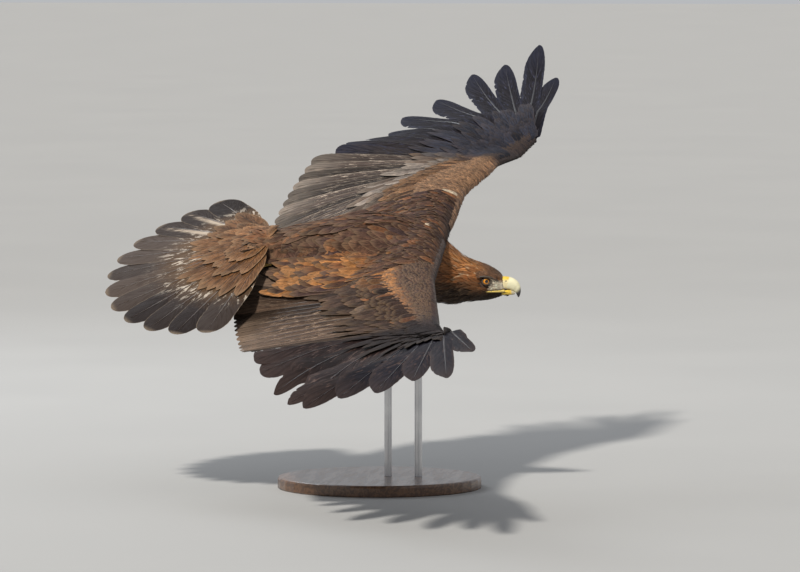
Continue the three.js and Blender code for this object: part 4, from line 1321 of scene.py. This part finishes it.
def loft_grid(points):
    """Points and faces of a closed loft through rings of equal size; points is (rings, sides, 3)."""
    rings, sides = points.shape[:2]
    index = np.arange(rings * sides).reshape(rings, sides)
    turned = np.roll(index, -1, 1)
    quads = np.stack([index[:-1], turned[:-1], turned[1:], index[1:]], -1).reshape(-1, 4)
    ends = [tuple(index[0][::-1]), tuple(index[-1])]
    return points.reshape(-1, 3), [tuple(q) for q in quads] + ends


def poly_object(name, parts):
    """A mesh object of several lofts, each (vertices, faces)."""
    vertices = []
    faces = []
    for points, lists in parts:
        start = len(vertices)
        vertices.extend(map(tuple, points))
        faces.extend(tuple(int(i) + start for i in f) for f in lists)
    mesh = bpy.data.meshes.new(name)
    mesh.from_pydata(vertices, [], faces)
    work = bmesh.new()
    work.from_mesh(mesh)
    bmesh.ops.recalc_face_normals(work, faces=work.faces)
    work.to_mesh(mesh)
    work.free()
    mesh.polygons.foreach_set("use_smooth", [True] * len(mesh.polygons))
    return linked(name, mesh)


def applied(obj):
    """The object's mesh with its modifiers worked in."""
    graph = bpy.context.evaluated_depsgraph_get()
    done = bpy.data.meshes.new_from_object(obj.evaluated_get(graph))
    obj.modifiers.clear()
    obj.data = done
    return obj


def skin_parts():
    q = np.linspace(-0.305, 0.182, 116)
    angle = circle(64)
    depth = COAT_BODY + (COAT_HEAD - COAT_BODY) * smooth(0.02, 0.11, q)
    grid_q, grid_angle = np.meshgrid(q, angle, indexing="ij")
    parts = [loft_grid(torso(grid_q, grid_angle, -depth[:, None] + 0 * grid_angle))]
    for wing in (RIGHT, LEFT):
        a = np.linspace(-0.05, wing.fingertip[0], 60)
        back = np.linspace(0.02, 0.72, 22)
        share = np.concatenate([back, back[::-1]])
        face = np.concatenate([np.ones(22), -np.ones(22)])
        f = wing.front(a)[:, None] - wing.chord(a)[:, None] * share[None]
        grid_a = a[:, None] + 0 * f
        thick = np.maximum(wing.section(grid_a, f) - COAT_ARM * 0.7, 0.0016)
        parts.append(loft_grid(wing.place(grid_a, f, face[None] * thick)))
    along = np.linspace(-0.318, -0.097, 40)
    turn = circle(24)
    grid_along, grid_turn = np.meshgrid(along, turn, indexing="ij")
    for leg in (-1, 1):
        parts.append(loft_grid(leg_point(leg, grid_along, grid_turn, -0.004)))
    return parts


skin = poly_object("skin", skin_parts())
remesh = skin.modifiers.new("remesh", "REMESH")
remesh.mode = "VOXEL"
remesh.voxel_size = SKIN_VOXEL
relax = skin.modifiers.new("relax", "SMOOTH")
relax.factor = 0.5
relax.iterations = 4
applied(skin)
skin.data.polygons.foreach_set("use_smooth", [True] * len(skin.data.polygons))

# The skin takes its colours from the nearest feathers
coats = [body_coat, neck_coat, head_coat, *wing_coverts, *shoulder_coats, tail_covers, leg_coat]
tree_roots = np.concatenate([c.roots for c in coats])
tree_tints = np.concatenate([c.tint for c in coats])
tree = kdtree.KDTree(len(tree_roots))
for i, root in enumerate(tree_roots):
    tree.insert(root, i)
tree.balance()
nearest = np.array([tree.find(v.co)[1] for v in skin.data.vertices])
add_color(skin, "Tint", tree_tints[nearest] * 0.6)
DOWN = grained("skin_down", (320.0, 4.0, 0.7), (0.55, 0.5, 0.5), SAME, (0.6, 0.001), (0.7, 0.9),
               at=(0.3, 0.75), cover=((40.0, 3.0), 0.3, (0.3, 0.22, 0.17)), tinted=True, Sheen_Weight=0.3)
finish_piece(skin, DOWN, "body_plumage", "trunk", "neck", "head", "thigh_left", "thigh_right")


# Bill, eyes, lids and gape

# Where the yellow cere ends and the horn begins, forward of the eye
CERE_END = 0.0475
# Nostrils: forward, side and height of their middles, then their sizes along x, y and z, for the dent and
# for the painted shade inside the opening
NOSTRIL = (0.0440, 0.0120, 0.0005)
NOSTRIL_HOLLOW = (0.006, 0.0030, 0.0016)
NOSTRIL_SHADE = (0.006, 0.0026, 0.0014)


def catmull(points, count):
    """Evenly indexed points on a smooth curve through the given ones."""
    points = np.asarray(points, dtype=float)
    padded = np.concatenate([2 * points[:1] - points[1:2], points, 2 * points[-1:] - points[-2:-1]])
    at = np.linspace(0, len(points) - 1 - 1e-6, count)
    cell = at.astype(int)
    t = (at - cell)[:, None]
    p0, p1, p2, p3 = (padded[cell + i] for i in range(4))
    return 0.5 * (2 * p1 + (p2 - p0) * t + (2 * p0 - 5 * p1 + 4 * p2 - p3) * t ** 2
                  + (3 * p1 - p0 - 3 * p2 + p3) * t ** 3)


def bill_points(rows, turn, hollow, square):
    rings = []
    crown = np.maximum(np.sin(turn), 0)
    floor = np.maximum(-np.sin(turn), 0)
    for x, z, half, tall, tilt in rows:
        wide = np.cos(turn) * half * (1 - 0.16 * crown ** 2)
        boxed = np.sign(np.cos(turn)) * np.abs(np.cos(turn)) ** 0.45 * half
        wide = np.where(np.sin(turn) * square > 0, boxed, wide)
        up = np.sin(turn) * tall * (1 - hollow * floor ** 3)
        rings.append(head_place(x + up * math.sin(tilt * DEG), wide, z + up * math.cos(tilt * DEG)))
    return np.array(rings)


def bill_piece(name, node, sections, hollow, upper):
    rows = catmull(sections, 64)
    turn = circle(40)
    points = bill_points(rows, turn, hollow, -1 if upper else 1)
    forward, side, height = NOSTRIL
    spots = [head_place(forward, s * side, height) for s in (-1, 1)] if upper else []
    centre = head_place(0.0435, 0.0, -0.0005)
    for spot in spots:
        size = np.linalg.norm((points - spot) / NOSTRIL_HOLLOW, axis=-1)
        push = 0.0016 * np.clip(1 - size, 0, 1) ** 0.5
        points = points + push[..., None] * (centre - spot) / np.linalg.norm(centre - spot)
    obj = poly_object(name, [loft_grid(points)])

    base = srgb(226, 190, 62)
    horn, tip = base * 0.9, srgb(190, 180, 150)
    if upper:
        crown = smooth(0.25, 0.75, np.sin(turn))[None]
        base = blend_colors(srgb(220, 206, 160), base, crown)
        horn, tip = srgb(222, 216, 180), srgb(48, 46, 48)
    run = np.concatenate([[0], np.cumsum(np.linalg.norm(np.diff(rows[:, :2], axis=0), axis=1))])
    run = (run / run[-1])[:, None]
    cere_edge = CERE_END + 0.0015 * np.sin(turn)[None]
    color = blend_colors(base, horn, smooth(-0.0012, 0.0012, rows[:, :1] - cere_edge))
    color = blend_colors(color, tip, smooth(0.66, 0.84, run + 0.04 * np.sin(turn)[None]))
    # Painted shade: a dark spot stands for the shade inside each nostril
    for spot in spots:
        size = np.linalg.norm((points - spot) / NOSTRIL_SHADE, axis=-1)
        color = blend_colors(color, srgb(24, 18, 14), smooth(1.1, 0.7, size))
    add_color(obj, "Tint", color.reshape(-1, 3))
    finish_piece(obj, HORN, "bill", node)


HORN = grained("horn", (260.0, 4.0), SAME, (0.55, 0.52, 0.5), (0.12, 0.0006), (0.24, 0.4), by=(90.0, 3.0),
               at=(0.4, 0.7, 0.0, 0.45), tinted=True, Coat_Weight=0.3, Coat_Roughness=0.2)
bill_piece("bill_top", "bill_upper", UPPER_BILL, 0.02, True)
bill_piece("bill_under", "bill_lower", LOWER_BILL, 0.1, False)

# Rings of colour round the pupil: colour, then the angles between which it takes over
EYE_RINGS = [(srgb(226, 150, 40), 0.33, 0.37), (srgb(150, 84, 24), 0.52, 0.74),
             (srgb(22, 16, 13), 0.76, 0.82)]
# The lid's section: angle past the opening, distance from the eye's middle
LID_SECTION = [(0.00, 0.0104), (0.02, 0.0110), (0.08, 0.0114), (0.20, 0.0112), (0.36, 0.0100),
               (0.36, 0.0080), (0.10, 0.0088)]


def eye_axes(side):
    centre = head_place(0.0, side * EYE_SIDE, 0.0)
    axis = head_place(0.0035, side * (EYE_SIDE + 0.010), 0.0008) - centre
    axis /= np.linalg.norm(axis)
    across = np.cross(axis, [0, 0, 1])
    across /= np.linalg.norm(across)
    return centre, axis, across, np.cross(across, axis)


def eye_ring(axes, turn, reach, angle, stretch=1.0):
    """Points at a reach from the eye's middle and at an angle from its axis."""
    centre, axis, across, upward = axes
    around = np.cos(turn)[:, None] * across * stretch + np.sin(turn)[:, None] * upward
    return centre + reach * (np.cos(angle)[..., None] * axis + np.sin(angle)[..., None] * around)


def eye_piece(side, name, node):
    """A ball with a raised cornea; the pupil, iris and dark white are rings of colour."""
    axes = eye_axes(side)
    bands, sectors = 56, 48
    away = np.linspace(0.02, math.pi - 0.02, bands)
    turn = circle(sectors)
    radius = EYE_RADIUS + 0.0009 * smooth(0.75, 0.35, away)
    obj = poly_object(name, [loft_grid(eye_ring(axes, turn, radius[:, None, None], away[:, None]))])
    angle = away[:, None] + RNG.normal(0, 0.012, (bands, sectors))
    color = srgb(10, 8, 8)
    for shade, low, high in EYE_RINGS:
        color = blend_colors(color, shade, smooth(low, high, angle))
    add_color(obj, "Tint", color.reshape(-1, 3))
    finish_piece(obj, EYE, "eye", node)


def lid_part(side):
    """A soft rim round an almond opening, deeper under the brow."""
    sectors = 64
    turn = circle(sectors)
    opening = 0.80 - 0.13 * np.abs(np.sin(turn)) - 0.10 * np.clip(np.sin(turn), 0, 1)
    axes = eye_axes(side)
    rings = np.array([eye_ring(axes, turn, reach, opening + step, 1.06) for step, reach in LID_SECTION])
    index = np.arange(len(rings) * sectors).reshape(-1, sectors)
    around = np.roll(index, -1, 1)
    below = np.roll(index, -1, 0)
    corner = np.roll(around, -1, 0)
    quads = np.stack([index, around, corner, below], -1).reshape(-1, 4)
    return rings.reshape(-1, 3), [tuple(f) for f in quads]


EYE = grained("eye", (900.0, 3.0, 0.7), SAME, (0.5, 0.42, 0.35), None, (0.08, 0.12), tinted=True,
              at=(0.35, 0.7, 0.0, 0.5), Coat_Weight=1.0, Coat_Roughness=0.02, IOR=1.4)
LID = grained("lids", (900.0, 3.0, 0.7), (0.030, 0.022, 0.018), (0.085, 0.06, 0.04), (0.5, 0.0005),
              (0.45, 0.6), cover=((200.0, 2.0), 0.4, (0.20, 0.14, 0.07)))
eye_piece(1, "eyeball_right", "eye_right")
eye_piece(-1, "eyeball_left", "eye_left")
finish_piece(poly_object("eyelids", [lid_part(1), lid_part(-1)]), LID, "head_plumage")


def tube(points, radii, sides=16, count=48, squash=1.0, scales=0.0):
    """A tapering tube along a smooth curve, with rings of scales where asked."""
    path = catmull(points, count)
    share = np.linspace(0, len(radii) - 1, count)
    radius = np.interp(share, np.arange(len(radii)), radii)
    ahead = np.gradient(path, axis=0)
    ahead /= np.linalg.norm(ahead, axis=1)[:, None]
    side = np.cross(ahead, [0.12, 0.03, 1.0])
    side /= np.linalg.norm(side, axis=1)[:, None]
    up = np.cross(side, ahead)
    turn = circle(sides)
    ripple = np.abs(np.sin(np.arange(count) * 1.05))[:, None] * np.clip(np.sin(turn) + 0.3, 0, 1)[None]
    around = np.cos(turn)[None, :, None] * side[:, None] + squash * np.sin(turn)[None, :, None] * up[:, None]
    return loft_grid(path[:, None] + (radius[:, None] * (1 + scales * ripple))[..., None] * around)


def head_line(forward, height, lift, left):
    """A line over one side of the head, at the given heights."""
    return torso(HEAD_FORWARD + forward, head_angle(forward, height, left), lift + 0 * forward)


def gape_part(left):
    """The yellow fold that runs back from the corner of the bill under the eye."""
    line = head_line(np.linspace(0.040, 0.000, 8), np.linspace(-0.0205, -0.0215, 8), 0.0002, left)
    return tube(line, [0.0027, 0.0026, 0.0023, 0.0020, 0.0014, 0.0005], sides=12, count=30)


def brow_part(left):
    """The shelf of bone over an eye, lowest in front."""
    forward = np.array([-0.017, -0.010, -0.002, 0.006, 0.014, 0.022, 0.029])
    height = np.array([0.0080, 0.0098, 0.0098, 0.0086, 0.0064, 0.0032, 0.0000])
    radii = [0.0010, 0.0030, 0.0038, 0.0040, 0.0034, 0.0022, 0.0008]
    return tube(head_line(forward, height, 0.0030, left), radii, count=44, squash=0.7)


finish_piece(poly_object("brow", [brow_part(False), brow_part(True)]), LID, "head_plumage")

# The lowest row of the brow's feathers: forward, height
BROW_ROW = [-0.017, -0.002, 0.014, 0.029], [0.0095, 0.0115, 0.0085, 0.0022]


def brow_roots():
    found = []
    for left in (False, True):
        for row in range(4):
            forward = np.linspace(-0.012, 0.026, 26) + RNG.uniform(-0.001, 0.001, 26)
            height = np.interp(forward, *BROW_ROW) + 0.0022 * row - 0.001
            found.append(np.stack([HEAD_FORWARD + forward, head_angle(forward, height, left)], -1))
    return np.concatenate(found)


def brow_colors(q, angle):
    return blend_colors(plumage(96, 68, 52), plumage(150, 108, 80), RNG.random(len(q)))


roots = brow_roots()
torso_coat(
    "coat_brow", roots, 0.0085 * grown(len(roots), 0.8, 1.2), 0.0034 * grown(len(roots), 0.85, 1.15),
    (2.4, 0.8), (0.0048, 0.0062), 0.15, FINE, brow_colors, rows=5, edge_share=0.25, camber=0.0004,
)
GAPE = grained("gape", (700.0, 3.0), (0.62, 0.44, 0.08), (0.78, 0.60, 0.18), (0.3, 0.0005), (0.35, 0.5))
finish_piece(poly_object("gape", [gape_part(False), gape_part(True)]), GAPE, "bill")


# Feet and talons
FOOT_FORWARD = -0.324
FOOT_UP = -0.042
# Toes: name, lean across, length, claw's run, whether it points back
TOES = [("inner", -0.55, 0.044, 0.034, False), ("middle", 0.0, 0.056, 0.029, False),
        ("outer", 0.55, 0.042, 0.025, False), ("hind", 0.0, 0.034, 0.038, True)]


def toe_paths(leg, lean, long, claw, back):
    def at(along, drop):
        return roll_place(
            np.array(leg * LEG_SIDE + (0 if back else leg * lean * along * 0.75)),
            np.array(FOOT_FORWARD + (0.35 * along if back else -along)),
            np.array(FOOT_UP - drop),
        )

    if back:
        toe = [at(-0.002, 0.004), at(-0.004, long * 0.55), at(0.008, long)]
        last = (0.008, long)
        curl = [(-claw * 0.35, claw * 0.45), (-claw * 1.1, claw * 0.62)]
    else:
        toe = [at(-0.004, 0.0), at(long * 0.35, 0.002), at(long * 0.75, 0.006), at(long, 0.014)]
        last = (long, 0.014)
        curl = [(claw * 0.28, claw * 0.55), (-claw * 0.12, claw * 0.92)]
    nail = [at(*last)] + [at(last[0] + da, last[1] + dd) for da, dd in curl]
    return toe, nail


def leather_material():
    g = Graph("scaled_skin")
    cells = g.node("ShaderNodeTexVoronoi", Vector=g.place(), Scale=420.0).outputs["Distance"]
    grain = g.noise(g.place(), 500.0, 3.0)
    color = g.mix(g.span(cells, 0.1, 0.6), (0.62, 0.42, 0.10), (0.34, 0.21, 0.05))
    color = g.mix(g.span(grain, 0.45, 0.75, 0.0, 0.4), color, (0.74, 0.58, 0.22))
    g.bump(cells, 0.5, 0.0008)
    return g.finish(color, g.span(grain, 0.3, 0.7, 0.45, 0.6))


LEATHER = leather_material()
TALON = grained("talon", (1.0, 3.0), (0.010, 0.009, 0.009), (0.035, 0.030, 0.028), (0.15, 0.0005),
                (0.18, 0.32), stretch=(60.0, 60.0, 300.0), Coat_Weight=0.25, Coat_Roughness=0.15)
for leg, leg_name in ((-1, "left"), (1, "right")):
    shank = [roll_place(np.array(leg * LEG_SIDE), np.array(a), np.array(u)) for a, u, r in TARSUS_RINGS[1:]]
    toe_parts = [tube(shank, [0.0115, 0.0105, 0.0100], count=24)]
    for toe_name, lean, long, claw, back in TOES:
        toe, nail = toe_paths(leg, lean, long, claw, back)
        toe_parts.append(tube(toe, [0.009, 0.0082, 0.0072, 0.0070, 0.0056], scales=0.10, count=60))
        nail_part = tube(nail, [0.0050, 0.0046, 0.0036, 0.0022, 0.0005], squash=1.15, count=40)
        talon = poly_object("talon_" + leg_name + "_" + toe_name, [nail_part])
        finish_piece(talon, TALON, "claw", "claw_" + leg_name + "_" + toe_name)
    finish_piece(poly_object("toes_" + leg_name, toe_parts), LEATHER, "foot", "foot_" + leg_name)


# Stand

def wood_material():
    g = Graph("walnut")
    warp = g.noise(g.place(), 3.0, 3.0)
    grain = g.noise(g.stretched(3.0, 22.0, 22.0), 2.4, 6.0, 0.65)
    rings = g.math("SINE", g.product(g.total(grain, warp), 38.0))
    fine = g.noise(g.stretched(20.0, 500.0, 500.0), 1.0, 2.0)
    color = g.mix(g.span(rings, -0.8, 0.9), (0.070, 0.032, 0.015), (0.150, 0.075, 0.035))
    color = g.mix(g.span(fine, 0.45, 0.7, 0.0, 0.6), color, (0.045, 0.020, 0.010))
    g.bump(fine, 0.12, 0.0005)
    return g.finish(color, g.span(grain, 0.3, 0.7, 0.28, 0.4), Coat_Weight=0.4, Coat_Roughness=0.18)


def dress(node, material):
    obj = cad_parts[node]
    if not obj.material_slots:
        obj.data.materials.append(material)
    for place in obj.material_slots:
        place.material = material


WOOD = wood_material()
STEEL = grained("brushed_rod", (1.0, 2.0), (0.52, 0.52, 0.53), (0.62, 0.62, 0.62), (0.08, 0.0003),
                (0.26, 0.4), by=(14.0, 3.0), at=(0.4, 0.7), stretch=(900.0, 900.0, 6.0), Metallic=1.0)
dress("stand_base", WOOD)
dress("stand_rod_front", STEEL)
dress("stand_rod_back", STEEL)


# Floor, light and camera

floor = mesh_object("floor", [(-60, -60, 0), (60, -60, 0), (60, 60, 0), (-60, 60, 0)], [(0, 1, 2, 3)])
floor.data.materials.append(
    grained("floor", (1.2, 3.0), (0.36, 0.36, 0.355), (0.37, 0.37, 0.365), None, (0.7, 0.8)))

world = bpy.data.worlds.new("studio")
bpy.context.scene.world = world
world.use_nodes = True
world.node_tree.nodes["Background"].inputs[0].default_value = (0.86, 0.88, 0.92, 1)
world.node_tree.nodes["Background"].inputs[1].default_value = 0.56


def light(name, kind, at, target, power, color, **settings):
    data = bpy.data.lights.new(name, kind)
    data.energy = power
    data.color = color
    for key, value in settings.items():
        setattr(data, key, value)
    obj = linked(name, data)
    obj.location = at
    obj.rotation_euler = (Vector(target) - Vector(at)).to_track_quat("-Z", "Y").to_euler()


light("key", "SUN", (-3.6, 1.0, 4.4), (0, 0, 0.5), 3.9, (1.0, 0.955, 0.88), angle=5 * DEG)
light("back", "AREA", (3.0, 2.5, 3.2), (0, 0, 0.6), 60, (0.90, 0.95, 1.0), shape="DISK", size=2.0)

# The photograph's view: bank and pitch are in the bird, so the camera only stands to the side
FRAME_WIDTH = 800
FOCAL = 5714.0
DISTANCE = 12.0
AZIMUTH = 276.4 * DEG
ELEVATION = 3.8 * DEG
AIM = Vector((0.0, SHOULDER_Y, FLIGHT_HEIGHT))
AIM_AT = (24.5, -35.2)

toward = Vector((math.sin(AZIMUTH) * math.cos(ELEVATION), -math.cos(AZIMUTH) * math.cos(ELEVATION),
                 math.sin(ELEVATION)))
rightward = Vector((0, 0, 1)).cross(toward).normalized()
upward = toward.cross(rightward)
target = AIM - rightward * (AIM_AT[0] * DISTANCE / FOCAL) + upward * (AIM_AT[1] * DISTANCE / FOCAL)
camera_data = bpy.data.cameras.new("camera")
camera_data.sensor_width = 36
camera_data.lens = FOCAL * 36 / FRAME_WIDTH
camera_data.clip_end = 200
camera = linked("camera", camera_data)
camera.location = target + toward * DISTANCE
camera.rotation_euler = (-toward).to_track_quat("-Z", "Y").to_euler()
bpy.context.scene.camera = camera
bpy.context.scene.view_settings.view_transform = "Standard"
